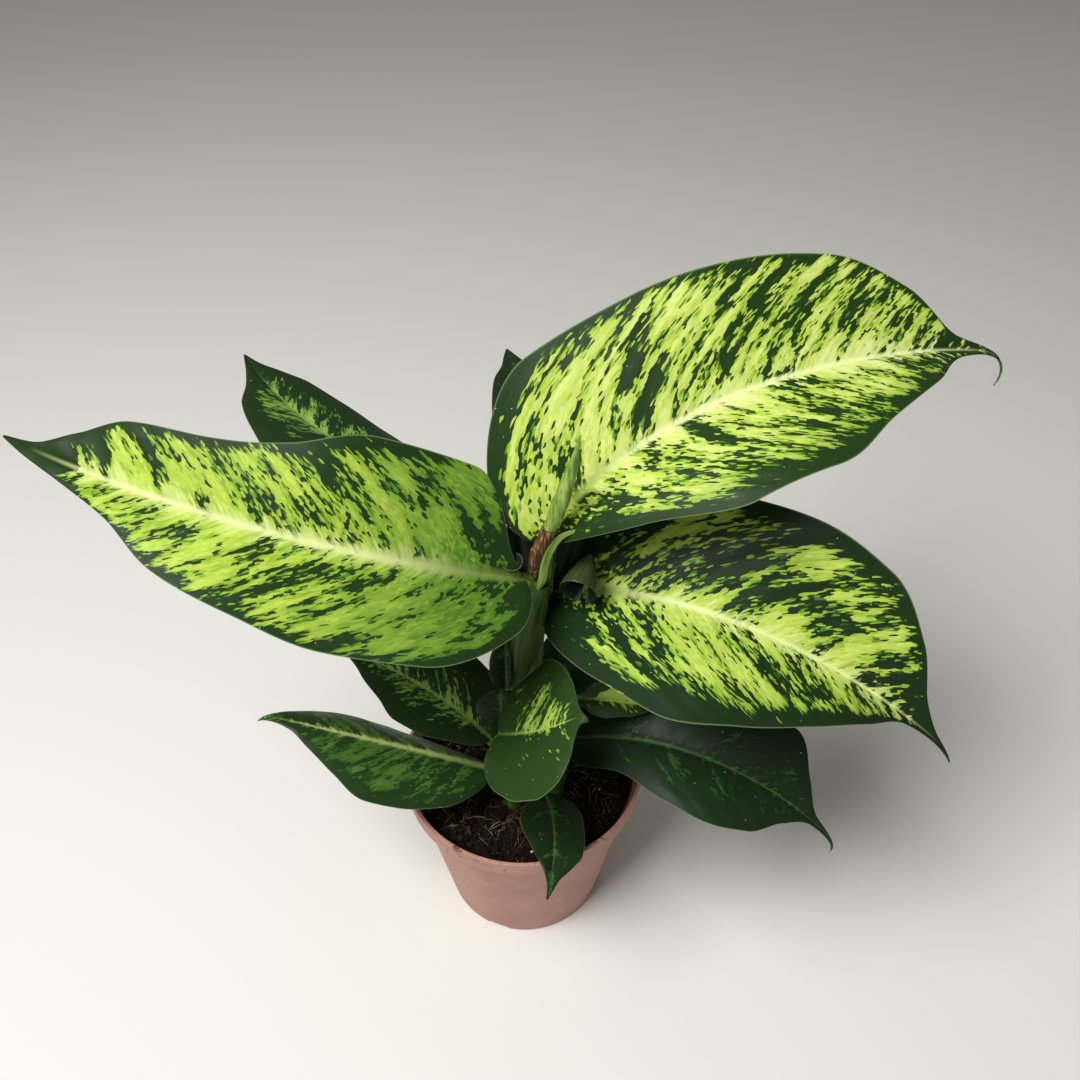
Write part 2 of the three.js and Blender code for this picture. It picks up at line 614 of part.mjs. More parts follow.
// The largest body of a solid, without any scrap that a cut leaves
function largest(body) {
  return body.decompose().reduce((best, next) => (next.volume() > best.volume() ? next : best));
}

// Assembly
const plant = new THREE.Group();
const stems = {};
const sockets = {};
for (const [name, { line }] of Object.entries(STEMS)) {
  stems[name] = stem(line, 0);
  sockets[name] = stem(line, GAP);
}

const sheathSocket = drySheath(GAP);
const bodies = {};
for (const [name, leaf] of Object.entries(LEAVES)) {
  const frames = midribFrames(leaf);
  let body = blade(leaf, frames).add(petiole(leaf, frames));
  for (const socket of Object.values(sockets)) body = body.subtract(socket);
  bodies[name] = largest(body.subtract(sheathSocket));
}
const sheath = drySheath(0).subtract(sockets.main_stem);
const newLeaf = spear().subtract(sheathSocket);

let mix = soil();
for (const socket of Object.values(sockets)) mix = mix.subtract(socket);
const holeRadius = LEAVES.leaf_drooping.petiole * PETIOLE_FOOT + GAP + HOLE.spare;
mix = mix.subtract(cylinder(holeRadius, HOLE.bottom, HOLE.top, HOLE.sides, HOLE.x, HOLE.y));

plant.add(piece('pot', pot(), '#a06a58', { roughness: 0.55, metalness: 0 }));
plant.add(piece('potting_mix', mix, '#2b211c', { roughness: 0.95, metalness: 0 }));
for (const [name, body] of Object.entries(stems)) {
  plant.add(piece(name, body, STEMS[name].color, STEM_FINISH));
}
for (const [name, body] of Object.entries(bodies)) {
  plant.add(piece(name, body, LEAVES[name].color, LEAF_FINISH));
}
plant.add(piece('dry_sheath', sheath, '#7a5636', { roughness: 0.85, metalness: 0 }));
plant.add(piece('rolled_new_leaf', newLeaf, '#9cc05a', LEAF_FINISH));

export default plant;
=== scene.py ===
import json
from math import cos, pi, radians, sin

import bpy
import numpy as np
from bpy.props import FloatProperty, FloatVectorProperty, IntProperty, PointerProperty
from mathutils import Euler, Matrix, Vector, noise


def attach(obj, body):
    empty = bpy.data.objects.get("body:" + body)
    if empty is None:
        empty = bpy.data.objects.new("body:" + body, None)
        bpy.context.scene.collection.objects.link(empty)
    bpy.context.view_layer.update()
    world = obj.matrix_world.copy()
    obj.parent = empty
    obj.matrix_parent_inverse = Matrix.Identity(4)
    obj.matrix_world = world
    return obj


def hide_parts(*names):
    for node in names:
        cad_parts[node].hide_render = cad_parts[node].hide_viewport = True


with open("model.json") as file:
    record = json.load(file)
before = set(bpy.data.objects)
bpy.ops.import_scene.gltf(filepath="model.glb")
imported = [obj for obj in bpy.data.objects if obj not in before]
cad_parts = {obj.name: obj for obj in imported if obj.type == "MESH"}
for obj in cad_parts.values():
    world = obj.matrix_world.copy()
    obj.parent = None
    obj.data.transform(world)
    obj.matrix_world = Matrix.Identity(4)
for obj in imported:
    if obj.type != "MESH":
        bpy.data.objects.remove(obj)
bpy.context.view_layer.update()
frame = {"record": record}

bl_info = {
    "name": "Potted Dieffenbachia",
    "version": (1, 0, 0),
    "blender": (4, 5, 0),
    "location": "View3D > Sidebar > Dieffenbachia",
    "description": "Builds a variegated dieffenbachia in a plastic pot, piece by piece",
    "category": "Add Mesh",
}

MM = 0.001

# The camera that took the view: its place, how far it looks down and turns right, and its lens
CAMERA_PLACE = (-0.0012, -0.289, 0.511)
CAMERA_DOWN = 42.4
CAMERA_RIGHT = 1.9
CAMERA_LENS = 32.5
KEY_PLACE = (-0.55, -0.45, 1.35)
KEY_AIM = (0, 0, 0.18)
KEY_SIZE = 0.7

# The pot, in mm, as its solid has it, but for the notches in its foot: they are turned as in the
# view, and 0.4 mm higher
POT_RIM_RADIUS = 60.0
POT_HEIGHT = 100.0
POT_BASE_RADIUS = 42.0
POT_WALL = 1.4
RIM_BAND_HEIGHT = 10.0
RIM_STEP = 4.4
FOOT_HEIGHT = 3.0
FOOT_WIDTH = 5.0
PAD_RADIUS = 12.0
DRAIN_HOLES = 6
DRAIN_HOLE_RADIUS = 4.0
DRAIN_HOLE_CIRCLE = 25.0
FOOT_NOTCHES = 4
FOOT_NOTCH_WIDTH = 12.0
FOOT_NOTCH_HEIGHT = 2.4
FOOT_NOTCH_TURN = -pi / 2 - 0.38
POT_NECK_RADIUS = POT_RIM_RADIUS - RIM_STEP
POT_FLOOR = FOOT_HEIGHT + 2
POT_INNER_FOOT = 7.0
POT_INNER_NECK = 88.0
WALL_STEPS = 12

# The potting mix, in mm
SOIL_LEVEL = 91.0
SOIL_CRUMB = 1.6
SOIL_RADIUS = 53.2
SOIL_DISH = 1.5
SOIL_SIDES = 200
SOIL_CIRCLES = 80
PATCH_STEP = 2.0

# Leaf blades. The edges sweep back by the foot and forward, by VEIN_SWEEP degrees, past it
VEIN_SWEEP = 22.0
SWEEP_LENGTH = 0.07
FLICK_FROM = 0.86
LEAST_HALF_WIDTH = 0.9
WAVED_FROM_WIDTH = 15.0
MIDRIB_STEPS = 96
STATIONS = np.array([0, 0.06, 0.15, 0.28, 0.42, 0.58, 0.72, 0.84, 0.93, 1])
# The side veins leave the midrib at about 48 degrees and bend on towards the tip
VEIN_FORWARD = 0.4
VEIN_BEND = 8.0
VEIN_GAP = 15.0
# Petioles: steps up to the blade and under it, how far along the blade they run, the clearance
# under it, the channel's half angle in degrees and how far the channel's edges rise
PETIOLE_STEPS = 28
RIB_STEPS = 30
RIB_END = 0.6
RIB_CLEARANCE = 0.3
CHANNEL_HALF_ANGLE = 42.0
PETIOLE_WING = 0.5
SHEATH_ROWS = 48
SHEATH_COLUMNS = 40
SHEATH_THICKNESS = 0.6

# A blade's pattern: how much longer than wide its cells are, what the broad noise, each cell's
# chance and the few odd cells add to the fine noise, and what is then taken off for the ramp
CELL_STRETCH = 1.6
BROAD_SHARE = 0.85
CHANCE_SHARE = 0.13
ODD_SHARE = 4.0
ODD_POWER = 5.0
SCORE_DROP = 0.49
# How far the light cells differ in green, and how much a dull right half widens its dark margin
CELL_TINT = 0.34
MARGIN_WIDENING = 0.25
# Where a young blade's light splash lies, as shares along and across, and how far it reaches
SPLASH_PLACE = (0.46, -0.26, 0.0)
SPLASH_REACH = (0.36, 0.50, 1.0)

# Each stem's line: x, y, z and radius in mm
STEMS = {
    "main_stem": [(0, 0, 70, 7.5), (0, 0, 96, 8), (1, -1, 135, 7.2), (3, -3, 175, 6.4), (5, -4, 210, 5.6),
                  (7, -5, 232, 4.6)],
    "left_shoot_stem": [(-6, -20, 74, 4.2), (-6, -20, 96, 4.4), (-8, -20, 115, 4.2), (-9, -21, 134, 3.9),
                        (-8, -22, 148, 3.6)],
    "right_shoot_stem": [(16, -16, 74, 3.6), (16, -16, 96, 3.8), (18, -15, 112, 3.5), (20, -14, 127, 3.0)],
}

# Each leaf: its foot on the stem, where its blade starts, the blade's length, the way it points and
# how it turns, rises and droops, how it leans and twists, how its halves fold, curl and wave, and
# their half widths at the stations. Places and sizes are in mm, angles in degrees. lobe is how far
# the edges sweep back by the foot, and right_lobe the share of the length over which they still do
# in the right half. look is the finish of the upper face.
PLAIN_LEAF = dict(turn=0, flick=0, lean=0, twist=0, bow=1, wave=0, waves=2, right_lobe=SWEEP_LENGTH)
LEAVES = {
    "leaf_upper_right": dict(
        look="bright", foot=(10, -3, 222), petiole=3, lobe=65, rows=170, columns=36,
        base=(11, -4, 250), heading=16, turn=-4, rise=84, droop=100, bow=0.44, flick=104, length=225,
        lean=-34, twist=15, fold=23, tip_fold=20, curl=8, wave=1.2, waves=3,
        right=(12, 30, 50, 50, 35, 20, 4, 1.5), left=(31, 53, 53, 50, 45, 27, 6, 1.5)),
    "leaf_left": dict(
        look="lush", foot=(3, -4, 200), petiole=3, lobe=72, right_lobe=0.13, rows=170, columns=36,
        base=(0, -12, 238), heading=193, turn=-42, rise=20, droop=14, bow=1.8, length=208,
        lean=36, twist=-4, fold=21, tip_fold=20, curl=7, wave=1.4, waves=3,
        right=(12, 42, 45, 36, 29, 25, 13, 3), left=(27, 43, 45, 39, 30, 15, 8, 4)),
    "leaf_right": dict(
        look="patched", foot=(3, -3, 172), petiole=3.2, lobe=65, rows=160, columns=36,
        base=(16, 7, 209), heading=-27, turn=4, rise=39, droop=78, bow=0.65, flick=26, length=187,
        lean=-32, twist=7, fold=16, tip_fold=35, curl=4, wave=1.2, waves=3,
        right=(25, 43, 55, 48, 34, 18, 4, 1.5), left=(19, 38, 51, 52, 47, 29, 10, 2)),
    "leaf_back_left": dict(
        look="feathered", foot=(1, -2, 184), petiole=2.5, lobe=65, rows=110, columns=24,
        base=(-34, 46, 238), heading=154, turn=-27, rise=0, droop=-18, bow=1.1, flick=-13, length=129,
        lean=-11, twist=1, fold=6, tip_fold=16, curl=25, wave=0.6,
        right=(12, 24, 30, 29, 26, 22, 13, 5), left=(12, 24, 32, 33, 28, 21, 10, 4)),
    "leaf_back": dict(
        look="dark", foot=(8, -2, 206), petiole=2.5, lobe=65, rows=110, columns=24,
        base=(15, 28, 229), heading=100, rise=30, droop=34, length=112,
        fold=14, tip_fold=14, curl=16, wave=0.6,
        right=(10, 20, 25, 25, 21, 14, 7, 3), left=(10, 19, 21, 19, 16, 12, 6, 3)),
    "leaf_low_right": dict(
        look="dark", foot=(19, -14, 118), petiole=2.4, lobe=55, rows=120, columns=26,
        base=(24, -16, 136), heading=-19, turn=-10, rise=31, droop=77, bow=0.93, flick=64, length=140,
        lean=-19, twist=-4, fold=15, tip_fold=20, curl=12, wave=0.8,
        right=(15, 17, 27, 31, 25, 11, 2, 1), left=(10, 21, 29, 32, 31, 15, 3, 1)),
    "leaf_low_left": dict(
        look="mottled", foot=(-7, -20, 104), petiole=2.2, lobe=65, rows=110, columns=24,
        base=(-15, -18, 117), heading=181, turn=-6, rise=26, droop=9, flick=58, length=113,
        lean=-13, twist=-3, fold=-14, tip_fold=14, curl=36, wave=0.6,
        right=(11, 21, 28, 27, 24, 18, 10, 4), left=(12, 25, 31, 32, 24, 14, 5, 2)),
    "leaf_mid_left": dict(
        look="feathered", foot=(-8, -20, 118), petiole=2, lobe=55, rows=100, columns=22,
        base=(-16, -13, 134), heading=155, turn=12, rise=45, droop=33, flick=25, length=84,
        lean=13, fold=19, tip_fold=18, curl=12, wave=0.5,
        right=(17, 24, 27, 24, 20, 13, 7, 2), left=(8, 16, 24, 25, 19, 13, 6, 2)),
    "leaf_young_front": dict(
        look="young", foot=(-10, -21, 136), petiole=2, lobe=65, rows=100, columns=24,
        base=(-10, -26, 154), heading=-43, turn=13, rise=41, droop=-12, bow=0.93, flick=82, length=63,
        lean=-30, twist=-7, fold=18, tip_fold=6, curl=20, wave=0.5,
        right=(17, 28, 33, 33, 28, 18, 8, 3), left=(17, 27, 34, 31, 26, 19, 10, 3)),
    "leaf_twisted": dict(
        look="young", foot=(2, -2, 148), petiole=1.5, lobe=10, rows=60, columns=16,
        base=(25, -14, 163), heading=-10, turn=8, rise=8, droop=30, flick=20, length=37,
        lean=-46, twist=30, fold=30, tip_fold=20, curl=20,
        right=(4, 8, 9, 8, 7, 5, 3, 1.5), left=(4, 8, 9, 9, 7, 5, 3, 1.5)),
    "leaf_drooping": dict(
        look="dark", foot=(9, -18, 72), petiole=1.8, lobe=50, rows=80, columns=20,
        base=(10, -23, 101), heading=-76, turn=-30, rise=31, droop=41, bow=1.06, flick=36, length=63,
        lean=7, twist=9, fold=9, tip_fold=20, curl=18, wave=0.4,
        right=(6, 13, 17, 16, 12, 7, 3, 1), left=(6, 12, 15, 15, 14, 9, 4, 2)),
    "leaf_tiny": dict(
        look="dark", foot=(-10, -21, 130), petiole=1.4, lobe=10, rows=60, columns=14,
        base=(-10, -12, 143), heading=92, rise=82, droop=10, length=22, fold=16, tip_fold=16, curl=14,
        right=(4, 6, 7, 7, 6, 5, 3, 1.2), left=(6, 10, 12, 12, 10, 7, 4, 1.5)),
    "leaf_folded": dict(
        look="dark", foot=(-1, -3, 163), petiole=1.3, lobe=10, rows=60, columns=14,
        base=(-7, -11, 167), heading=90, rise=86, droop=-4, length=38, fold=24, tip_fold=24, curl=15,
        right=(2, 3, 3, 3, 3, 2, 2, 1), left=(4, 7, 8, 8, 7, 5, 3, 1.5)),
    # leaf_shaded, which has no CAD node, is a small dark leaf behind the stem that stands in for a patch of
    # deep shade by the crown
    "leaf_shaded": dict(
        look="dark", foot=(6, 4, 116), petiole=1.5, lobe=50, rows=60, columns=14,
        base=(10, 8, 126), heading=28, rise=62, droop=16, length=72,
        lean=-25, fold=12, tip_fold=16, curl=14, wave=0.4, waves=1,
        right=(10, 16, 18, 18, 15, 11, 6, 2), left=(10, 16, 18, 18, 15, 11, 6, 2)),
}

# The sheaths where the petioles clasp the stem: a line of centres with radii in mm, the direction in which
# the middle of the sheet lies, and how far round it reaches to each side in degrees. skin is the finish of
# the outside, and lining that of the inside, which is mostly near black as painted shade.
SHEATHS = {
    "main_sheath": dict(
        skin="olive_sheath", lining="painted_shade_lining", face=(-0.1, -1, 0.2), arc=84,
        line=[(-1, -6, 156, 1.6), (-0.5, -5, 170, 4.4), (1, -4, 188, 7.2), (3, -4, 206, 8.0),
              (5, -5, 220, 7.2), (7, -6, 231, 5.4)]),
    "leaf_right_funnel": dict(
        skin="funnel_sheath", lining="painted_shade_lining", face=(-0.1, 0.3, 1), arc=170,
        line=[(29, 1, 237.5, 0.8), (27.4, -4, 236, 3.6), (25, -10, 234, 6.2), (23, -15.5, 232.5, 7.6)]),
    "leaf_upper_right_wing": dict(
        skin="wing_sheath", lining="wing_sheath", face=(-0.5, -1, 0.5), arc=62,
        line=[(26, -11, 263, 0.5), (17, -11, 259, 1.5), (12.5, -11, 252, 2.0), (10.4, -11, 244, 2.1),
              (9.4, -11, 236, 2.0), (7, -10, 229, 0.8)]),
    "leaf_left_collar": dict(
        skin="brown_sheath", lining="painted_shade_lining", face=(0, -1, -0.3), arc=160,
        line=[(-1, -9, 241, 0.3), (-2.2, -10, 243.5, 3.2), (-2.8, -11, 246, 4.0)]),
    "inner_sheath_right": dict(
        skin="olive_sheath", lining="painted_shade_lining", face=(0.1, 1, 0), arc=85,
        line=[(7, -1, 190, 5), (12, 2, 210, 8.5), (17, 4, 230, 10), (21, 6, 243, 8.5), (24, 8, 252, 3)]),
    "inner_sheath_left": dict(
        skin="olive_sheath", lining="painted_shade_lining", face=(-0.2, 1, 0), arc=85,
        line=[(3, -1, 188, 5), (1, 2, 208, 7.5), (0, 4, 228, 9), (-1, 5, 241, 8), (-1, 6, 250, 3)]),
}
# Each sheath finish: its dark and light skin, and its dry edge
SHEATH_SKINS = {
    "olive_sheath": ("#2c4018", "#4e6727", "#8f9c62"),
    "funnel_sheath": ("#232d12", "#464f2a", "#a9ac7c"),
    "wing_sheath": ("#3f5d24", "#86a048", "#dbe4b0"),
    "brown_sheath": ("#2c2010", "#6b5630", "#b5a274"),
    # the near-black lining: painted shade in the sheaths' hollows
    "painted_shade_lining": ("#0a120a", "#16240f", "#2c4023"),
}

# Finishes of a blade's upper face: the dark tissue, three stages of light patches, the pale streaks and
# midrib, and the midrib at its foot. cover is how much of the face the patches take, across and along are a
# patch's size in mm across and along the side veins, and cell is the width in mm of the cells that it is made
# up of. margin is where the dark edge begins, rib is the midrib's half width and feather how far its pale
# streaks reach, both in mm. tip_shade darkens the end, right_dull greens the patches by the right edge, and
# the dulling by the foot greens them there as painted shadow of the leaf above; splash lightens one place.
PLAIN_LOOK = dict(tip_shade=0.0, foot_shadow=0.0, right_dull=0.0, splash=0.0)
LOOKS = {
    "bright": dict(
        deep="#1e3611", middle="#54801f", light="#aac63a", pale="#d9e57e", cream="#dde5a0",
        rib_foot="#93a54c", cover=0.045, across=3.6, along=10.0, cell=0.95, margin=1.02, rib=2.2,
        feather=14.0, right_dull=0.4, tip_shade=0.14),
    "lush": dict(
        deep="#1d3412", middle="#4a7420", light="#8cae2f", pale="#bfd653", cream="#d6de98",
        rib_foot="#768c44", cover=0.085, across=4.2, along=9.0, cell=0.95, margin=0.98, rib=3.0,
        feather=12.0, foot_shadow=0.75, tip_shade=0.16),
    "patched": dict(
        deep="#192e12", middle="#40701f", light="#9abc36", pale="#ccdd66", cream="#dbe398",
        rib_foot="#7f9644", cover=0.045, across=4.6, along=11.0, cell=1.0, margin=0.93, rib=2.2,
        feather=13.0, right_dull=0.3, tip_shade=0.14),
    "feathered": dict(
        deep="#1c3114", middle="#2b4c1b", light="#4c7629", pale="#8fae4c", cream="#7f9f50",
        rib_foot="#5e7838", cover=-0.06, across=3.0, along=9.0, cell=0.9, margin=0.68, rib=1.2,
        feather=9.0, tip_shade=0.08),
    "mottled": dict(
        deep="#213a17", middle="#294a1a", light="#365d21", pale="#587b33", cream="#c0d17c",
        rib_foot="#8fa25c", cover=0.0, across=3.0, along=7.0, cell=0.8, margin=0.88, rib=2.0,
        feather=5.0, tip_shade=0.06),
    "young": dict(
        deep="#263f17", middle="#35601c", light="#6b9c30", pale="#c2d65c", cream="#a5bf58",
        rib_foot="#5d7c34", cover=-0.20, across=2.8, along=12.0, cell=0.9, margin=0.90, rib=0.9,
        feather=10.0, tip_shade=0.05, splash=0.33),
    "dark": dict(
        deep="#182b14", middle="#1d3417", light="#27461f", pale="#3b602c", cream="#41632f",
        rib_foot="#44603a", cover=-0.17, across=3.2, along=9.0, cell=0.9, margin=0.74, rib=0.9,
        feather=4.0),
}

# Node kinds and settings that are used often
MATH = "ShaderNodeMath"
VECTOR_MATH = "ShaderNodeVectorMath"
MAP_RANGE = "ShaderNodeMapRange"
SEPARATE = "ShaderNodeSeparateXYZ"
COMBINE = "ShaderNodeCombineXYZ"
NOISE = "ShaderNodeTexNoise"
RAMP = "ShaderNodeValToRGB"
ATTRIBUTE = "ShaderNodeAttribute"
COORDINATES = "ShaderNodeTexCoord"
NAMED_ATTRIBUTE = "GeometryNodeInputNamedAttribute"
SET_POSITION = "GeometryNodeSetPosition"
SET_MATERIAL = "GeometryNodeSetMaterial"
REALIZE = "GeometryNodeRealizeInstances"
CIRCLE = "GeometryNodeCurvePrimitiveCircle"
SMOOTH = dict(interpolation_type="SMOOTHSTEP")
STRAIGHT = dict(interpolation_type="LINEAR")


def linear(colour):
    """An sRGB hex colour as linear red, green, blue and alpha."""
    parts = [int(colour[i:i + 2], 16) / 255 for i in (1, 3, 5)]
    return (*(p / 12.92 if p <= 0.04045 else ((p + 0.055) / 1.055) ** 2.4 for p in parts), 1.0)


def add(tree, kind, inputs=(), stops=(), **settings):
    """Adds a node with its settings, and sets or links its inputs by name or by place.

    A node given as an input stands for its first output, a list for several links, and a hex
    string for its colour. stops are a colour ramp's places and hex colours.
    """
    made = tree.nodes.new(kind)
    for key, value in settings.items():
        setattr(made, key, value)
    for number, (place, colour) in enumerate(stops):
        elements = made.color_ramp.elements
        element = elements[number] if number < 2 else elements.new(place)
        element.position = place
        element.color = linear(colour)
    sockets = [socket for socket in made.inputs if socket.enabled]
    for key, value in inputs.items() if isinstance(inputs, dict) else enumerate(inputs):
        socket = sockets[key] if isinstance(key, int) else next(s for s in sockets if s.name == key)
        for item in value if isinstance(value, list) else [value]:
            if isinstance(item, bpy.types.Node):
                item = next(s for s in item.outputs if s.enabled)
            if isinstance(item, bpy.types.NodeSocket):
                tree.links.new(item, socket)
            else:
                socket.default_value = linear(item) if str(item).startswith("#") else item
    return made


def new_material(name, roughness=0.5, ior=1.45, specular=0.5):
    """A material with its tree and its principled shader."""
    material = bpy.data.materials.new(name)
    material.use_nodes = True
    tree = material.node_tree
    tree.nodes.clear()
    shader = add(tree, "ShaderNodeBsdfPrincipled", {
        "Roughness": roughness, "IOR": ior, "Specular IOR Level": specular})
    add(tree, "ShaderNodeOutputMaterial", {"Surface": shader})
    return material, tree, shader


def finish_surface(tree, shader, colour, height, depth, strength=0.5, layers=()):
    """Links a material's colour with the layers over it, each a factor and a colour, and its relief
    with a depth in metres."""
    for factor, layer in layers:
        colour = add(tree, "ShaderNodeMix", {"Factor": factor, "A": colour, "B": layer}, data_type="RGBA")
    tree.links.new(next(s for s in colour.outputs if s.enabled), shader.inputs["Base Color"])
    bump = add(tree, "ShaderNodeBump", {"Height": height, "Strength": strength, "Distance": depth})
    tree.links.new(bump.outputs[0], shader.inputs["Normal"])


def grain(tree, place, scale, detail, roughness=0.5):
    """Fine noise that is stretched by a scale per metre along each axis."""
    stretched = add(tree, VECTOR_MATH, [place, scale], operation="MULTIPLY")
    return add(tree, NOISE, {"Vector": stretched, "Scale": 1.0, "Detail": detail, "Roughness": roughness})


def blade_material(name, look):
    """Leaf blade, upper face: a satin wax over dark tissue, with light patches that have lost their
    green. The patches run along the side veins and are made up of millimetre cells, so their edges
    are ragged. The midrib is pale, with streaks that leave it along the veins."""
    material, tree, shader = new_material(name, roughness=0.42, ior=1.40, specular=0.26)
    vein, blade = (add(tree, ATTRIBUTE, attribute_name=key).outputs["Vector"] for key in ("vein", "blade"))
    along, side = add(tree, SEPARATE, [blade]).outputs[:2]
    signed_out = add(tree, SEPARATE, [vein]).outputs[1]
    out, across = (add(tree, MATH, [value], operation="ABSOLUTE") for value in (signed_out, side))
    right = add(tree, MATH, [side, 0.0], operation="MAXIMUM")
    feather, margin = look["feather"] * MM, look["margin"]
    # the middle of the cell that each place lies in, on this leaf
    narrow, long = look["cell"] * MM, CELL_STRETCH * look["cell"] * MM
    cell = add(tree, VECTOR_MATH, [vein, (1 / narrow, 1 / long, 0)], operation="MULTIPLY")
    cell = add(tree, "ShaderNodeTexVoronoi", {"Vector": cell, "Scale": 1.0}, voronoi_dimensions="2D").outputs
    leaf = add(tree, VECTOR_MATH, [vein, (0, 0, 1)], operation="MULTIPLY")
    middle = add(tree, VECTOR_MATH, [cell["Position"], (narrow, long, 0), leaf], operation="MULTIPLY_ADD")
    patch_scale = (1 / (look["across"] * MM), 1 / (look["along"] * MM), 1)
    patch = add(tree, VECTOR_MATH, [middle, patch_scale], operation="MULTIPLY")
    blotch = add(tree, NOISE, {
        "Vector": patch, "Scale": 1.0, "Detail": 3.0, "Roughness": 0.50, "Distortion": 0.5})
    broad = add(tree, NOISE, {"Vector": patch, "Scale": 0.33, "Detail": 2.0})
    # each cell's chance, and the few cells that stand out as a hole or a speck
    chance = add(tree, "ShaderNodeSeparateColor", [cell["Color"]])
    odd = add(tree, MATH, [chance, 0.5], operation="SUBTRACT")
    odd = add(tree, MATH, [odd, ODD_POWER], operation="POWER")
    score = blotch
    for amount, weight in ((broad, BROAD_SHARE), (chance, CHANCE_SHARE), (odd, ODD_SHARE)):
        score = add(tree, MATH, [amount, weight, score], operation="MULTIPLY_ADD")
    score = add(tree, MATH, [score, SCORE_DROP - look["cover"]], operation="SUBTRACT")
    # less light at the margin, the tip and the foot, and more by the midrib and in the splash
    rim = add(tree, MATH, [right, MARGIN_WIDENING * look["right_dull"], across], operation="MULTIPLY_ADD")
    off = add(tree, VECTOR_MATH, [blade, SPLASH_PLACE], operation="SUBTRACT")
    off = add(tree, VECTOR_MATH, [off, SPLASH_REACH], operation="DIVIDE")
    off = add(tree, VECTOR_MATH, [off], operation="LENGTH").outputs["Value"]
    for value, start, end, low, high, change in (
            (rim, margin - 0.18, margin + 0.08, 0.0, 0.34, SMOOTH),
            (along, 0.70, 0.94, 0.0, 3 * look["tip_shade"], SMOOTH),
            (along, 0.0, 0.14, 0.27, 0.0, STRAIGHT),
            (out, 0.0, feather, -0.09, 0.0, SMOOTH),
            (off, 0.3, 1.0, -look["splash"], 0.0, SMOOTH)):
        shade = add(tree, MAP_RANGE, {
            "Value": value, "From Min": start, "From Max": end, "To Min": low, "To Max": high}, **change)
        score = add(tree, MATH, [score, shade], operation="SUBTRACT")
    colour = add(tree, RAMP, [score], stops=[
        (0.0, look["deep"]), (0.70, look["pale"]), (0.490, look["deep"]), (0.510, look["middle"]),
        (0.545, look["light"])])
    # the light cells differ in how green they are, and are duller by the right edge; by the foot they are
    # greened as painted shadow of the leaf above
    lit, inner, ended = (
        add(tree, MAP_RANGE, {"Value": value, "From Min": start, "From Max": end})
        for value, start, end in ((score, 0.46, 0.53), (along, 0.10, 0.32), (along, 0.94, 0.76)))
    shadow_by_foot = add(tree, MAP_RANGE, {
        "Value": along, "From Min": 0.08, "From Max": 0.40, "To Min": look["foot_shadow"], "To Max": 0.0},
        **SMOOTH)
    by_edge = add(tree, MAP_RANGE, {
        "Value": right, "From Min": 0.55, "From Max": 0.95, "To Max": look["right_dull"]}, **SMOOTH)
    tint = add(tree, MATH, [chance, CELL_TINT, shadow_by_foot], operation="MULTIPLY_ADD")
    tint = add(tree, MATH, [tint, by_edge], operation="ADD")
    tint = add(tree, MATH, [tint, lit], operation="MULTIPLY")
    # pale streaks along the side veins, near the midrib
    streak = grain(tree, vein, (1 / (2.4 * MM), 1 / (30 * MM), 1), 3.0)
    reach = add(tree, MAP_RANGE, {"Value": out, "From Max": feather, "To Min": 0.22, "To Max": -0.25})
    pale = add(tree, MATH, [streak, reach], operation="ADD")
    pale = add(tree, MAP_RANGE, {"Value": pale, "From Min": 0.50, "From Max": 0.72, "To Max": 0.72})
    for share in (inner, lit, ended):
        pale = add(tree, MATH, [pale, share], operation="MULTIPLY")
    # the midrib: olive at its foot, cream in the middle of the leaf, thinner to the tip
    rib_colour = add(tree, "ShaderNodeMix", {"Factor": inner, "A": look["rib_foot"], "B": look["cream"]},
                     data_type="RGBA")
    rib_width = add(tree, MAP_RANGE, {
        "Value": along, "To Min": look["rib"] * MM, "To Max": 0.2 * look["rib"] * MM})
    on_rib = add(tree, MATH, [out, rib_width], operation="DIVIDE")
    on_rib = add(tree, MAP_RANGE, {
        "Value": on_rib, "From Min": 0.4, "From Max": 1.5, "To Min": 0.75, "To Max": 0.0})
    on_rib = add(tree, MATH, [on_rib, ended], operation="MULTIPLY")
    # the thin pale line of the very edge, a painted highlight, and dust on the wax
    line = add(tree, MAP_RANGE, {"Value": across, "From Min": 0.986, "From Max": 0.998, "To Max": 0.5})
    place = add(tree, COORDINATES).outputs["Object"]
    dust = add(tree, "ShaderNodeTexVoronoi", {"Vector": place, "Scale": 1 / (5 * MM)})
    speck = add(tree, MATH, [dust, 0.05], operation="LESS_THAN")
    speck = add(tree, MATH, [speck, 0.55], operation="MULTIPLY")
    wax = add(tree, NOISE, {"Vector": place, "Scale": 1 / (9 * MM), "Detail": 4.0})
    gloss = add(tree, MAP_RANGE, {
        "Value": wax, "From Min": 0.3, "From Max": 0.7, "To Min": 0.38, "To Max": 0.52})
    tree.links.new(gloss.outputs[0], shader.inputs["Roughness"])
    finish_surface(tree, shader, colour, streak, 0.2 * MM, 0.3, layers=[
        (tint, look["middle"]), (pale, look["cream"]), (on_rib, rib_colour), (line, "#86a468"),
        (speck, "#d5dfcc")])
    return material


def underside_material():
    """Leaf blade, underside: no wax, paler and duller, with the patches showing through faintly."""
    material, tree, shader = new_material("leaf_underside", roughness=0.6, ior=1.40)
    vein = add(tree, ATTRIBUTE, attribute_name="vein").outputs["Vector"]
    blotch = grain(tree, vein, (1 / (5 * MM), 1 / (14 * MM), 1), 5.0, 0.6)
    colour = add(tree, RAMP, [blotch], stops=[(0.36, "#34592f"), (0.66, "#7fa64c"), (0.52, "#527c38")])
    finish_surface(tree, shader, colour, blotch, 0.2 * MM)
    return material


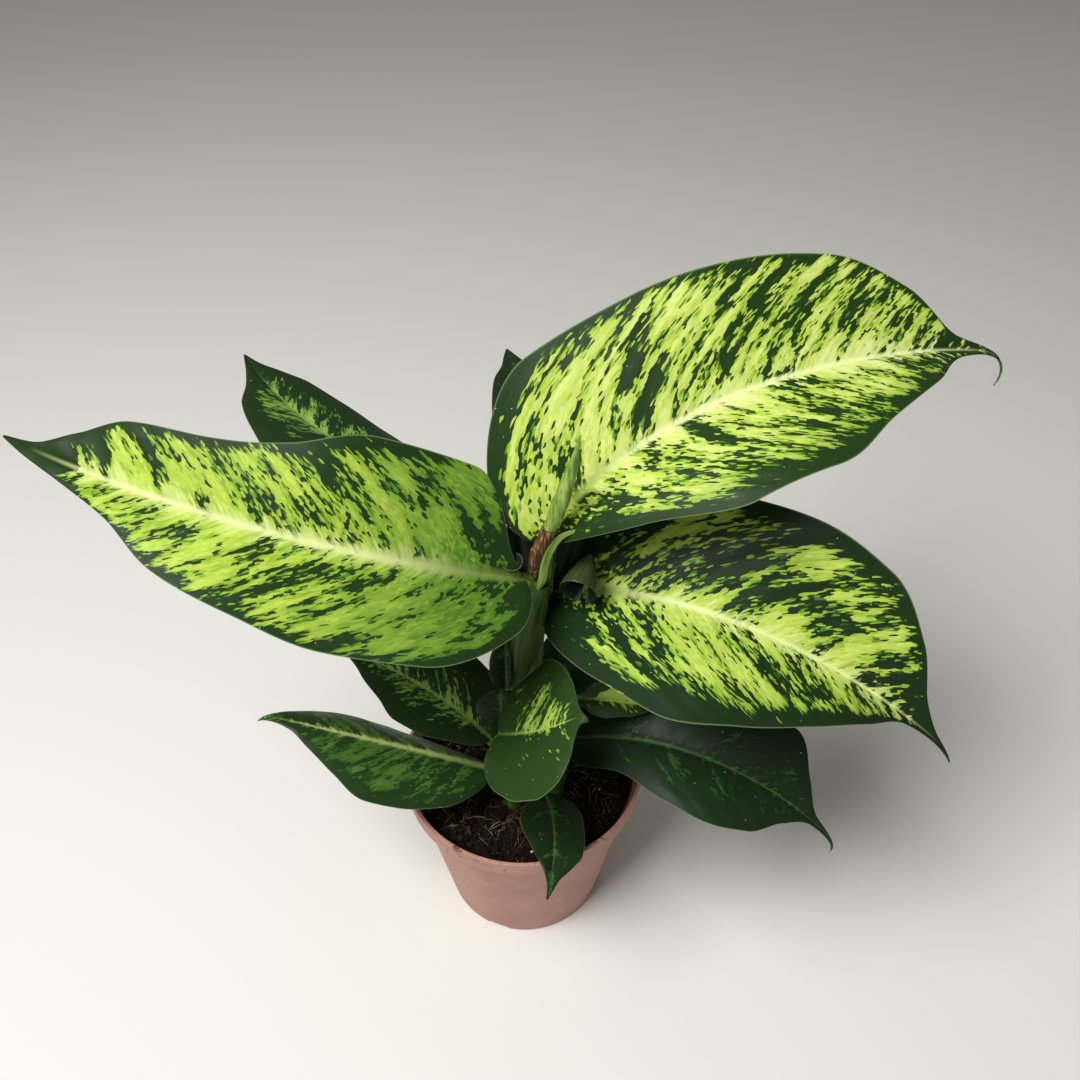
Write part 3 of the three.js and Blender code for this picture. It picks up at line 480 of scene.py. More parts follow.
def stalk_material(name, dark, light, pale, streak_width=1.2):
    """Petiole or stem: smooth green skin with fine lengthwise streaks and darker mottling."""
    material, tree, shader = new_material(name, roughness=0.4, ior=1.42)
    place = add(tree, COORDINATES).outputs["Object"]
    across = 1 / (streak_width * MM)
    streak = grain(tree, place, (across, across, 1 / (16 * MM)), 4.0, 0.6)
    colour = add(tree, RAMP, [streak], stops=[(0.32, dark), (0.74, pale), (0.5, light)])
    mottle = add(tree, NOISE, {"Vector": place, "Scale": 1 / (8 * MM), "Detail": 4.0})
    shade = add(tree, MAP_RANGE, {"Value": mottle, "From Min": 0.42, "From Max": 0.66, "To Max": 0.65})
    finish_surface(tree, shader, colour, streak, 0.2 * MM, 0.4, layers=[(shade, dark)])
    return material


def sheath_material(name, dark, light, edge):
    """Leaf sheath: thin skin with fine parallel veins lengthwise, and a dry pale margin."""
    material, tree, shader = new_material(name, roughness=0.42, ior=1.42, specular=0.35)
    vein, blade = (add(tree, ATTRIBUTE, attribute_name=key).outputs["Vector"] for key in ("vein", "blade"))
    side = add(tree, MATH, [add(tree, SEPARATE, [blade]).outputs[1]], operation="ABSOLUTE")
    streak = grain(tree, vein, (1 / (24 * MM), 1 / (1.1 * MM), 1), 4.0, 0.6)
    colour = add(tree, RAMP, [streak], stops=[(0.34, dark), (0.66, light)])
    margin = add(tree, MAP_RANGE, {"Value": side, "From Min": 0.90, "From Max": 0.98, "To Max": 0.8})
    finish_surface(tree, shader, colour, streak, 0.15 * MM, 0.3, layers=[(margin, edge)])
    return material


def husk_material():
    """Dry leaf sheath: papery brown tissue, its fibres lengthwise, lighter where it is worn thin."""
    material, tree, shader = new_material("dry_leaf_sheath", roughness=0.75)
    place = add(tree, COORDINATES).outputs["Object"]
    fibre = grain(tree, place, (1 / (0.9 * MM), 1 / (0.9 * MM), 1 / (10 * MM)), 5.0, 0.65)
    colour = add(tree, RAMP, [fibre], stops=[(0.34, "#1d120b"), (0.68, "#bb9a58"), (0.52, "#5d3b1f")])
    finish_surface(tree, shader, colour, fibre, 0.6 * MM, 0.8)
    return material


def pot_material(colour):
    """Moulded polypropylene: satin and dusty pink-brown outside, with lighter scuffs, faint rings from the
    mould and smears of wet mix under the rim. Inside it is darker red-brown, partly its own colour and partly
    painted shade."""
    material, tree, shader = new_material("moulded_polypropylene", roughness=0.5, ior=1.49)
    place = add(tree, COORDINATES).outputs["Object"]
    x, y, height = add(tree, SEPARATE, [place]).outputs
    flat = add(tree, COMBINE, [x, y])
    radius = add(tree, VECTOR_MATH, [flat], operation="LENGTH").outputs["Value"]
    cloud = add(tree, NOISE, {"Vector": place, "Scale": 1 / (24 * MM), "Detail": 4.0})
    scuff = grain(tree, place, (1 / (14 * MM), 1 / (14 * MM), 1 / (1.5 * MM)), 5.0, 0.7)
    smear = add(tree, NOISE, {"Vector": place, "Scale": 1 / (6 * MM), "Detail": 7.0, "Roughness": 0.72})
    under_rim = add(tree, MAP_RANGE, {"Value": height, "From Min": 0.07, "From Max": 0.1, "To Max": 0.12})
    marked = add(tree, MATH, [smear, under_rim], operation="ADD")
    clouded, scuffed, smeared = (
        add(tree, MAP_RANGE, {"Value": value, "From Min": start, "From Max": end, "To Max": most})
        for value, start, end, most in (
            (cloud, 0.35, 0.70, 0.5), (scuff, 0.56, 0.74, 0.4), (marked, 0.68, 0.74, 0.8)))
    # the wall's inside lies within this radius at each height, and is painted darker red-brown there, partly
    # as painted shade
    slope = (POT_RIM_RADIUS - 2 - POT_NECK_RADIUS + POT_WALL) / (RIM_BAND_HEIGHT + 2)
    wall = (POT_RIM_RADIUS - 1.7 - slope * POT_HEIGHT) * MM
    wall = add(tree, MATH, [height, slope, wall], operation="MULTIPLY_ADD")
    inside = add(tree, MATH, [radius, wall], operation="LESS_THAN")
    finish_surface(tree, shader, colour, scuff, 0.15 * MM, 0.2, layers=[
        (clouded, "#bc9080"), (scuffed, "#d6b4a6"), (smeared, "#2c1a12"), (inside, "#4a231b")])
    return material


def grain_material(name, stops, size, roughness):
    """Peat, crumbs, fibres and perlite: a rough dry or damp surface in a few tones."""
    material, tree, shader = new_material(name, roughness=roughness, specular=0.15)
    place = add(tree, COORDINATES).outputs["Object"]
    tone = add(tree, NOISE, {"Vector": place, "Scale": 1 / (size * MM), "Detail": 5.0, "Roughness": 0.7})
    finish_surface(tree, shader, add(tree, RAMP, [tone], stops=stops), tone, 0.6 * MM, 0.8)
    return material


def new_tree(name, **inputs):
    """A Geometry Nodes tree with named inputs of the given kinds: the tree and its input sockets."""
    tree = bpy.data.node_groups.new(name, "GeometryNodeTree")
    tree.interface.new_socket("Geometry", in_out="INPUT", socket_type="NodeSocketGeometry")
    for label, kind in inputs.items():
        tree.interface.new_socket(label, in_out="INPUT", socket_type="NodeSocket" + kind)
    tree.interface.new_socket("Geometry", in_out="OUTPUT", socket_type="NodeSocketGeometry")
    return tree, add(tree, "NodeGroupInput").outputs


def end_tree(tree, geometry, material):
    """Ends a tree with real geometry in one material."""
    geometry = add(tree, REALIZE, [geometry])
    geometry = add(tree, SET_MATERIAL, {"Geometry": geometry, "Material": material})
    add(tree, "NodeGroupOutput", [geometry])
    return tree


def mesh_object(name, points, edges=(), faces=(), attributes=()):
    """A mesh object from points in metres, with its point attributes."""
    mesh = bpy.data.meshes.new(name)
    mesh.from_pydata([tuple(p) for p in points], list(edges), list(faces))
    for key, values in dict(attributes).items():
        values = np.asarray(values, dtype=np.float32)
        kind, field = ("FLOAT_VECTOR", "vector") if values.ndim == 2 else ("FLOAT", "value")
        mesh.attributes.new(key, kind, "POINT").data.foreach_set(field, values.ravel())
    made = bpy.data.objects.new(name, mesh)
    bpy.context.scene.collection.objects.link(made)
    return made


def grow(piece, tree, sharp, **values):
    """Runs a tree on a piece and keeps the result as its plain mesh, with edges sharp from an angle."""
    modifier = piece.modifiers.new(tree.name, "NODES")
    modifier.node_group = tree
    for item in tree.interface.items_tree:
        if item.in_out == "INPUT" and item.name in values:
            modifier[item.identifier] = values[item.name]
    graph = bpy.context.evaluated_depsgraph_get()
    mesh = bpy.data.meshes.new_from_object(piece.evaluated_get(graph), depsgraph=graph)
    start = piece.data
    piece.modifiers.clear()
    piece.data = mesh
    mesh.name = piece.name
    bpy.data.meshes.remove(start)
    if not mesh.polygons:
        raise RuntimeError(f"the tree {tree.name} made nothing for {piece.name}")
    mesh.set_sharp_from_angle(angle=radians(sharp))
    return piece


def finish_piece(piece, slot, *nodes):
    """The piece rides with the plant and stands for the CAD nodes, which it hides. slot is not used."""
    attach(piece, "root")
    if nodes:
        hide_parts(*nodes)


def loft(rings):
    """Points and faces of a body through rings of points, with its two ends closed."""
    rings = np.asarray(rings)
    count, sides = rings.shape[:2]
    faces = [tuple(range(sides - 1, -1, -1)), tuple(range((count - 1) * sides, count * sides))]
    for i in range(count - 1):
        for j in range(sides):
            a, b = i * sides + j, i * sides + (j + 1) % sides
            faces.append((a, b, b + sides, a + sides))
    return rings.reshape(-1, 3), faces


def half_width(widths, t):
    """The smooth half width, in metres, through a leaf's station widths."""
    values = np.array([LEAST_HALF_WIDTH, *widths, LEAST_HALF_WIDTH / 2]) * MM
    span = np.diff(STATIONS)
    slope = np.diff(values) / span
    tangent = np.empty_like(values)
    tangent[0], tangent[-1] = slope[0], slope[-1]
    product = slope[:-1] * slope[1:]
    total = np.where(product > 0, slope[:-1] + slope[1:], 1)
    tangent[1:-1] = np.where(product > 0, 2 * product / total, 0)
    i = np.clip(np.searchsorted(STATIONS, t, side="right") - 1, 0, len(span) - 1)
    u = (t - STATIONS[i]) / span[i]
    rise, fall = tangent[i] * span[i], tangent[i + 1] * span[i]
    return (values[i] * (1 + 2 * u) * (1 - u) ** 2 + rise * u * (1 - u) ** 2
            + values[i + 1] * u * u * (3 - 2 * u) + fall * u * u * (u - 1))


def midrib_direction(leaf, t):
    """Which way the midrib runs, and the level direction to its right."""
    drip = np.maximum(0, (t - FLICK_FROM) / (1 - FLICK_FROM)) ** 2
    rise = np.radians(leaf["rise"] - leaf["droop"] * t ** leaf["bow"] - leaf["flick"] * drip)
    heading = np.radians(leaf["heading"] + leaf["turn"] * t)
    along = np.stack([np.cos(rise) * np.cos(heading), np.cos(rise) * np.sin(heading), np.sin(rise)], -1)
    level = np.stack([np.sin(heading), -np.cos(heading), 0 * heading], -1)
    return along, level


def midrib(leaf, t):
    """Places and directions along the midrib at shares t: place, along, across to the right, up."""
    steps = np.linspace(0, 1, MIDRIB_STEPS + 1)
    halfway = (steps[1:] + steps[:-1]) / 2
    strides = midrib_direction(leaf, halfway)[0] * leaf["length"] * MM / MIDRIB_STEPS
    places = np.vstack([np.zeros(3), np.cumsum(strides, axis=0)]) + np.array(leaf["base"]) * MM
    along, level = midrib_direction(leaf, t)
    normal = np.cross(level, along)
    lean = np.radians(leaf["lean"] + leaf["twist"] * t)[..., None]
    across = np.cos(lean) * level + np.sin(lean) * normal
    up = np.cos(lean) * normal - np.sin(lean) * level
    place = np.stack([np.interp(t, steps, places[:, k]) for k in range(3)], -1)
    return place, along, across, up


def blade_surface(leaf, t, s):
    """The blade's middle surface on the grid of t by s, with the distance out from the midrib."""
    place, along, across, up = (a[:, None, :] for a in midrib(leaf, t))
    right, left = (half_width(leaf[half], t)[:, None] for half in ("right", "left"))
    width = np.where(s[None, :] > 0, right, left)
    fold = np.radians(leaf["fold"] + (leaf["tip_fold"] - leaf["fold"]) * t)[:, None]
    curl = radians(leaf["curl"])
    out = np.abs(s)[None, :]
    sideways = width * (np.sin(fold) - np.sin(fold - curl * out)) / curl
    # the right edge's waves run a quarter ahead of the left edge's
    phase = leaf["waves"] * t[:, None] + np.where(s[None, :] > 0, 0.25, 0)
    steady = np.minimum(1, width / (WAVED_FROM_WIDTH * MM))
    ripple = leaf["wave"] * MM * out ** 2 * steady * np.sin(2 * pi * phase)
    lift = width * (np.cos(fold - curl * out) - np.cos(fold)) / curl + ripple
    fades = np.where(s > 0, leaf["right_lobe"], SWEEP_LENGTH)[None, :]
    sweep = np.radians(VEIN_SWEEP - (VEIN_SWEEP + leaf["lobe"]) * np.exp(-t[:, None] / fades))
    side = np.sign(s)[None, :]
    points = (place + (side * sideways * np.cos(sweep))[..., None] * across
              + (sideways * np.sin(sweep))[..., None] * along + lift[..., None] * up)
    return points, width * out


def grid_object(name, points, along, signed, seed, t, s):
    """A grid of points as an object, with where each point lies on the blade or sheath.

    vein is a distance along, the distance out to the right, and the piece's own seed. blade is the
    share along and the share across.
    """
    t, s = np.broadcast_arrays(t[:, None], s[None, :])
    rows, columns = (size - 1 for size in t.shape)
    wide = columns + 1
    corners = [i * wide + j for i in range(rows) for j in range(columns)]
    faces = [(a, a + 1, a + wide + 1, a + wide) for a in corners]
    vein = np.stack([along, signed, np.full_like(signed, seed)], -1)
    return mesh_object(name, points.reshape(-1, 3), faces=faces, attributes={
        "vein": vein.reshape(-1, 3), "blade": np.stack([t, s, 0 * t], -1).reshape(-1, 3)})


def blade_sheet(name, leaf, seed):
    """The blade's middle surface as an object. Its vein attribute starts with the distance along
    the midrib at which the side vein through each point leaves it."""
    # rows stand closer at both ends, and columns at the edges
    u = np.linspace(0, 1, leaf["rows"] + 1)
    t = u - 0.5 / (2 * pi) * np.sin(2 * pi * u)
    v = np.linspace(-1, 1, 2 * leaf["columns"] + 1)
    s = np.sign(v) * np.abs(v) ** 0.9
    points, out = blade_surface(leaf, t, s)
    start = t[:, None] * leaf["length"] * MM - VEIN_FORWARD * out - VEIN_BEND * out ** 2
    return grid_object(name, points, start, np.sign(s)[None, :] * out, seed, t, s)


def sheath_sheet(name, sheath, seed):
    """A sheath's middle surface as an object: a gutter round its line."""
    places, radii = smooth_line(sheath["line"], SHEATH_ROWS + 1)
    along = np.gradient(places, axis=0)
    along /= np.linalg.norm(along, axis=1, keepdims=True)
    face = np.array(sheath["face"], dtype=float)
    up = face - along * (along @ face)[:, None]
    up /= np.linalg.norm(up, axis=1, keepdims=True)
    across = np.cross(along, up)
    s = np.linspace(-1, 1, SHEATH_COLUMNS + 1)
    angle = radians(sheath["arc"]) * s
    points = places[:, None] + radii[:, None, None] * (
        np.cos(angle)[None, :, None] * up[:, None] + np.sin(angle)[None, :, None] * across[:, None])
    t = np.linspace(0, 1, SHEATH_ROWS + 1)
    length = np.linalg.norm(places[-1] - places[0])
    signed = s[None, :] * radians(sheath["arc"]) * radii[:, None]
    return grid_object(name, points, t[:, None] * length + 0 * signed, signed, seed, t, s)


def blade_tree():
    """A blade from its middle surface: thin, with its side veins quilted and its midrib sunk."""
    tree, given = new_tree("leaf_blade", Thickness="Float", Quilting="Float", Upper="Material",
                           Underside="Material")
    vein, blade = (
        add(tree, SEPARATE, [add(tree, NAMED_ATTRIBUTE, {"Name": key}, data_type="FLOAT_VECTOR")]).outputs
        for key in ("vein", "blade"))
    out, across = (add(tree, MATH, [value], operation="ABSOLUTE") for value in (vein[1], blade[1]))
    # the thickness fades to nothing at the edges, the foot and the tip
    half = add(tree, MATH, [given["Thickness"], 0.5], operation="MULTIPLY")
    for place, full, edge in ((across, 0.80, 1.0), (blade[0], 0.03, 0.0), (blade[0], 0.97, 1.0)):
        fade = add(tree, MAP_RANGE, {"Value": place, "From Min": edge, "From Max": full})
        half = add(tree, MATH, [half, fade], operation="MULTIPLY")
    # the quilting fades at the edges and the midrib
    ridge = add(tree, MATH, [vein[0], 2 * pi / (VEIN_GAP * MM)], operation="MULTIPLY")
    ridge = add(tree, MATH, [ridge], operation="COSINE")
    relief = add(tree, MATH, [ridge, given["Quilting"]], operation="MULTIPLY")
    for place, full, none in ((across, 0.83, 1.0), (out, 5 * MM, 0.0)):
        fade = add(tree, MAP_RANGE, {"Value": place, "From Min": none, "From Max": full})
        relief = add(tree, MATH, [relief, fade], operation="MULTIPLY")
    sunk = add(tree, MAP_RANGE, {
        "Value": out, "From Max": 3.2 * MM, "To Min": -0.5 * MM, "To Max": 0.0}, **SMOOTH)
    fade = add(tree, MAP_RANGE, {"Value": blade[0], "From Min": 0.97, "From Max": 0.6})
    relief = add(tree, MATH, [sunk, fade, relief], operation="MULTIPLY_ADD")
    normal = add(tree, "GeometryNodeInputNormal")
    faces = []
    for operation in ("ADD", "SUBTRACT"):
        height = add(tree, MATH, [relief, half], operation=operation)
        offset = add(tree, VECTOR_MATH, {"Vector": normal, "Scale": height}, operation="SCALE")
        faces.append(add(tree, SET_POSITION, {"Geometry": given["Geometry"], "Offset": offset}))
    below = add(tree, "GeometryNodeFlipFaces", [faces[1]])
    below = add(tree, "GeometryNodeStoreNamedAttribute", {"Geometry": below, "Name": "below", "Value": True},
                data_type="BOOLEAN", domain="FACE")
    both = add(tree, "GeometryNodeJoinGeometry", [[faces[0], below]])
    both = add(tree, "GeometryNodeMergeByDistance", {"Geometry": both, "Distance": 0.002 * MM})
    both = add(tree, REALIZE, [both])
    both = add(tree, SET_MATERIAL, {"Geometry": both, "Material": given["Upper"]})
    below = add(tree, NAMED_ATTRIBUTE, {"Name": "below"}, data_type="BOOLEAN")
    both = add(tree, SET_MATERIAL, {"Geometry": both, "Selection": below, "Material": given["Underside"]})
    add(tree, "NodeGroupOutput", [both])
    return tree


def stalk_line(name, places, thickness, face, bed=1.0, wing=0.0, roll=0.0):
    """A stalk's line as an object, for the stalk tree."""
    count = len(places)
    attributes = {"centre": places, "face": np.broadcast_to(face, (count, 3))}
    for key, value in (("thickness", thickness), ("bed", bed), ("wing", wing), ("roll", roll),
                       ("share", np.linspace(0, 1, count))):
        attributes[key] = np.broadcast_to(value, count)
    return mesh_object(name, places, edges=[(i, i + 1) for i in range(count - 1)], attributes=attributes)


def stalk_tree():
    """A stalk round a line. On the side that its face points to runs a channel, whose floor lies at
    the share bed of the thickness and whose edges rise by the share wing. roll is the step of a
    rolled leaf's free edge. Rings of leaf scars and an uneven skin come on top."""
    tree, given = new_tree("stalk", Sides="Int", Scars="Float", Spacing="Float", Uneven="Float",
                           Grain="Vector", Material="Material")
    named = {}
    for kind, keys in (("FLOAT_VECTOR", ("centre", "face")),
                       ("FLOAT", ("thickness", "bed", "wing", "roll", "share", "round"))):
        for key in keys:
            named[key] = add(tree, NAMED_ATTRIBUTE, {"Name": key}, data_type=kind)
    line = add(tree, "GeometryNodeMeshToCurve", [given["Geometry"]])
    line = add(tree, "GeometryNodeSetCurveNormal", {"Curve": line, "Normal": named["face"]}, mode="FREE")
    section = add(tree, CIRCLE, {"Resolution": given["Sides"], "Radius": MM})
    section = add(tree, "GeometryNodeStoreNamedAttribute", {
        "Geometry": section, "Name": "round", "Value": add(tree, "GeometryNodeSplineParameter")})
    skin = add(tree, "GeometryNodeCurveToMesh", {"Curve": line, "Profile Curve": section, "Fill Caps": True})
    # how far the skin lies from the line, as a share of the thickness
    away = add(tree, MATH, [named["round"], 2 * pi], operation="MULTIPLY")
    away = add(tree, MATH, [away, pi], operation="PINGPONG")
    lip = radians(CHANNEL_HALF_ANGLE)
    reach = add(tree, MAP_RANGE, {"Value": away, "From Max": lip, "To Min": named["bed"]}, **SMOOTH)
    inner, outer = (
        add(tree, MAP_RANGE, {
            "Value": away, "From Min": start * lip, "From Max": lip, "To Max": named["wing"]})
        for start in (0.55, 1.9))
    wing = add(tree, MATH, [inner, outer], operation="MINIMUM")
    reach = add(tree, MATH, [reach, wing], operation="ADD")
    turn = add(tree, MATH, [named["share"], 0.3, named["round"]], operation="MULTIPLY_ADD")
    turn = add(tree, MATH, [turn], operation="FRACT")
    free_edge = add(tree, MAP_RANGE, {
        "Value": turn, "From Min": 0.4, "From Max": 0.0, "To Max": named["roll"]})
    reach = add(tree, MATH, [reach, free_edge], operation="ADD")
    reach = add(tree, MATH, [reach, named["thickness"]], operation="MULTIPLY")
    # scars and unevenness, in metres
    place = add(tree, "GeometryNodeInputPosition")
    height = add(tree, SEPARATE, [place]).outputs[2]
    ring = add(tree, MATH, [given["Spacing"], 0.5], operation="MULTIPLY")
    ring = add(tree, MATH, [height, ring], operation="PINGPONG")
    scar = add(tree, MAP_RANGE, {
        "Value": ring, "From Min": 1.6 * MM, "From Max": 0.0, "To Max": given["Scars"]}, **SMOOTH)
    rough = grain(tree, place, given["Grain"], 3.0)
    rough = add(tree, MATH, [rough, 0.5], operation="SUBTRACT")
    reach = add(tree, MATH, [rough, given["Uneven"], reach], operation="MULTIPLY_ADD")
    reach = add(tree, MATH, [reach, scar], operation="ADD")
    spoke = add(tree, VECTOR_MATH, [place, named["centre"]], operation="SUBTRACT")
    spoke = add(tree, VECTOR_MATH, [spoke], operation="NORMALIZE")
    spoke = add(tree, VECTOR_MATH, {"Vector": spoke, "Scale": reach}, operation="SCALE")
    moved = add(tree, VECTOR_MATH, [named["centre"], spoke], operation="ADD")
    skin = add(tree, SET_POSITION, {"Geometry": skin, "Position": moved})
    return end_tree(tree, skin, given["Material"])


def petiole_line(name, leaf):
    """The petiole's line, which runs on under the blade as the thick midrib."""
    foot = np.array(leaf["foot"]) * MM
    start, along, _, up = (a[0] for a in midrib(leaf, np.array([0.0])))
    reach = np.linalg.norm(start - foot)
    thick = leaf["petiole"] * MM
    u = np.linspace(0, 1, PETIOLE_STEPS, endpoint=False)[:, None]
    bends = (foot, foot + np.array([0, 0, reach * 0.45]), start - along * reach * 0.4, start)
    shares = ((1 - u) ** 3, 3 * u * (1 - u) ** 2, 3 * u * u * (1 - u), u ** 3)
    stalk = sum(bend * share for bend, share in zip(bends, shares))
    stalk = stalk - up * (thick * 0.99 + RIB_CLEARANCE * MM) * u
    inward = (foot - start) * np.array([1, 1, 0])
    length = np.linalg.norm(inward)
    inward = inward / length if length > MM else up
    share = np.linspace(0, 1, RIB_STEPS)[:, None]
    place, _, _, up_rib = midrib(leaf, share[:, 0] * RIB_END)
    rib = thick * (0.9 - 0.75 * share)
    return stalk_line(
        name, np.vstack([stalk, place - up_rib * (rib * 1.1 + RIB_CLEARANCE * MM)]),
        np.vstack([thick * (1.25 - 0.3 * u), rib])[:, 0],
        np.vstack([inward * (1 - u) + up * u, up_rib]),
        np.vstack([0.25 + 0.49 * u, 0.85 + 0 * share])[:, 0],
        np.vstack([PETIOLE_WING * (1 - u) ** 0.7, 0 * share])[:, 0])


def smooth_line(line, count):
    """Places and radii on a smooth curve through a stem's line, in metres."""
    knots = np.array(line, dtype=float) * MM
    at = np.linspace(0, len(knots) - 1, count)
    i = np.minimum(at.astype(int), len(knots) - 2)
    u = (at - i)[:, None]
    before, a, b, after = (knots[np.clip(i + k, 0, len(knots) - 1)] for k in (-1, 0, 1, 2))
    value = 0.5 * (2 * a + (b - before) * u + (2 * before - 5 * a + 4 * b - after) * u ** 2
                   + (3 * a - before - 3 * b + after) * u ** 3)
    return value[:, :3], value[:, 3]


class PotSettings(bpy.types.PropertyGroup):
    """The pot's look."""
    colour: FloatVectorProperty(
        name="Plastic", description="Colour of the pot's plastic", subtype="COLOR", size=4, min=0, max=1,
        default=linear("#a57263"))
    sides: IntProperty(name="Sides", description="Steps round the pot", default=240, min=48, max=360)


class MixSettings(bpy.types.PropertyGroup):
    """How much lies on the potting mix."""
    crumbs: FloatProperty(name="Crumbs", description="Peat crumbs per square metre", default=300000.0, min=0)
    lumps: FloatProperty(name="Lumps", description="Lumps of peat per square metre", default=16000.0, min=0)
    fibres: FloatProperty(name="Fibres", description="Fibres per square metre", default=60000.0, min=0)
    perlite: FloatProperty(name="Perlite", description="White grains per square metre", default=4000.0, min=0)
    crumb_size: FloatProperty(
        name="Crumb Size", description="Widest crumb", default=3.4 * MM, min=0, subtype="DISTANCE",
        unit="LENGTH")


class LeafSettings(bpy.types.PropertyGroup):
    """The blades' body."""
    thickness: FloatProperty(
        name="Thickness", description="Thickness of a blade", default=0.7 * MM, min=0, subtype="DISTANCE",
        unit="LENGTH")
    quilting: FloatProperty(
        name="Quilting", description="How far a blade bulges between its side veins", default=0.13 * MM,
        min=0, subtype="DISTANCE", unit="LENGTH")


class StageSettings(bpy.types.PropertyGroup):
    """The floor and the lights."""
    floor_size: FloatProperty(
        name="Floor", description="Side of the floor", default=14.0, min=1, subtype="DISTANCE", unit="LENGTH")
    key_power: FloatProperty(
        name="Key Light", description="Power of the main light", default=24.0, min=0, unit="POWER")
    room_light: FloatProperty(
        name="Room Light", description="Brightness of the room around", default=0.22, min=0)


class PLANT_OT_stage(bpy.types.Operator):
    """Floor, soft light and the camera"""
    bl_idname = "plant.stage"
    bl_label = "Stage"

    def execute(self, context):
        settings = context.scene.plant_stage
        half = settings.floor_size / 2
        material, _, shader = new_material("matte_floor", roughness=0.8)
        shader.inputs["Base Color"].default_value = linear("#e8e6e0")
        corners = [(-half, -half, 0), (half, -half, 0), (half, half, 0), (-half, half, 0)]
        floor = mesh_object("floor", corners, faces=[(0, 1, 2, 3)])
        floor.data.materials.append(material)
        world = bpy.data.worlds.new("soft_room")
        world.use_nodes = True
        background = world.node_tree.nodes["Background"]
        background.inputs["Color"].default_value = linear("#f3f1ee")
        background.inputs["Strength"].default_value = settings.room_light
        context.scene.world = world
        lamp_data = bpy.data.lights.new("key_light", "AREA")
        lamp_data.size = KEY_SIZE
        lamp_data.energy = settings.key_power
        lamp = bpy.data.objects.new("key_light", lamp_data)
        lamp.location = KEY_PLACE
        lamp.rotation_euler = (Vector(KEY_AIM) - Vector(KEY_PLACE)).to_track_quat("-Z", "Y").to_euler()
        camera_data = bpy.data.cameras.new("camera")
        camera_data.lens = CAMERA_LENS
        camera = bpy.data.objects.new("camera", camera_data)
        camera.location = CAMERA_PLACE
        camera.rotation_euler = Euler((radians(90 - CAMERA_DOWN), 0, radians(-CAMERA_RIGHT)))
        for made in (lamp, camera):
            context.scene.collection.objects.link(made)
        context.scene.camera = camera
        context.scene.view_settings.view_transform = "Standard"
        return {"FINISHED"}


def pot_profile():
    """The pot's section, radius and height in mm, from the middle of its base round to its inside."""
    top, under = POT_HEIGHT, POT_HEIGHT - RIM_BAND_HEIGHT
    outer, neck, base = POT_RIM_RADIUS, POT_NECK_RADIUS, POT_BASE_RADIUS
    foot = base - FOOT_WIDTH
    wall = [(base + (neck - base) * k / WALL_STEPS, 1 + (under - 2) * k / WALL_STEPS)
            for k in range(WALL_STEPS + 1)]
    rim = [(outer - 0.5 + 0.5 * sin(radians(a)), top - 0.5 + 0.5 * cos(radians(a)))
           for a in range(90, -1, -15)]
    return [
        (0, 0), (PAD_RADIUS, 0), (PAD_RADIUS + 0.6, 0.3), (PAD_RADIUS + 2, FOOT_HEIGHT),
        (foot - 1.4, FOOT_HEIGHT), (foot - 0.6, FOOT_HEIGHT - 0.6), (foot - 0.1, 0.3), (foot + 0.3, 0),
        (base - 1, 0), (base - 0.3, 0.3), *wall,
        (neck + 0.6, under - 0.4), (outer - 1.0, under + 0.1), (outer - 0.4, under + 0.6),
        (outer - 0.2, under + 3), *rim, (outer - 1.5, top), (outer - 2, top - 0.5), (outer - 2.3, top - 3),
        (neck - POT_WALL, POT_INNER_NECK), (base - POT_WALL, POT_INNER_FOOT),
        (base - POT_WALL - 2, POT_FLOOR), (0, POT_FLOOR),
    ]


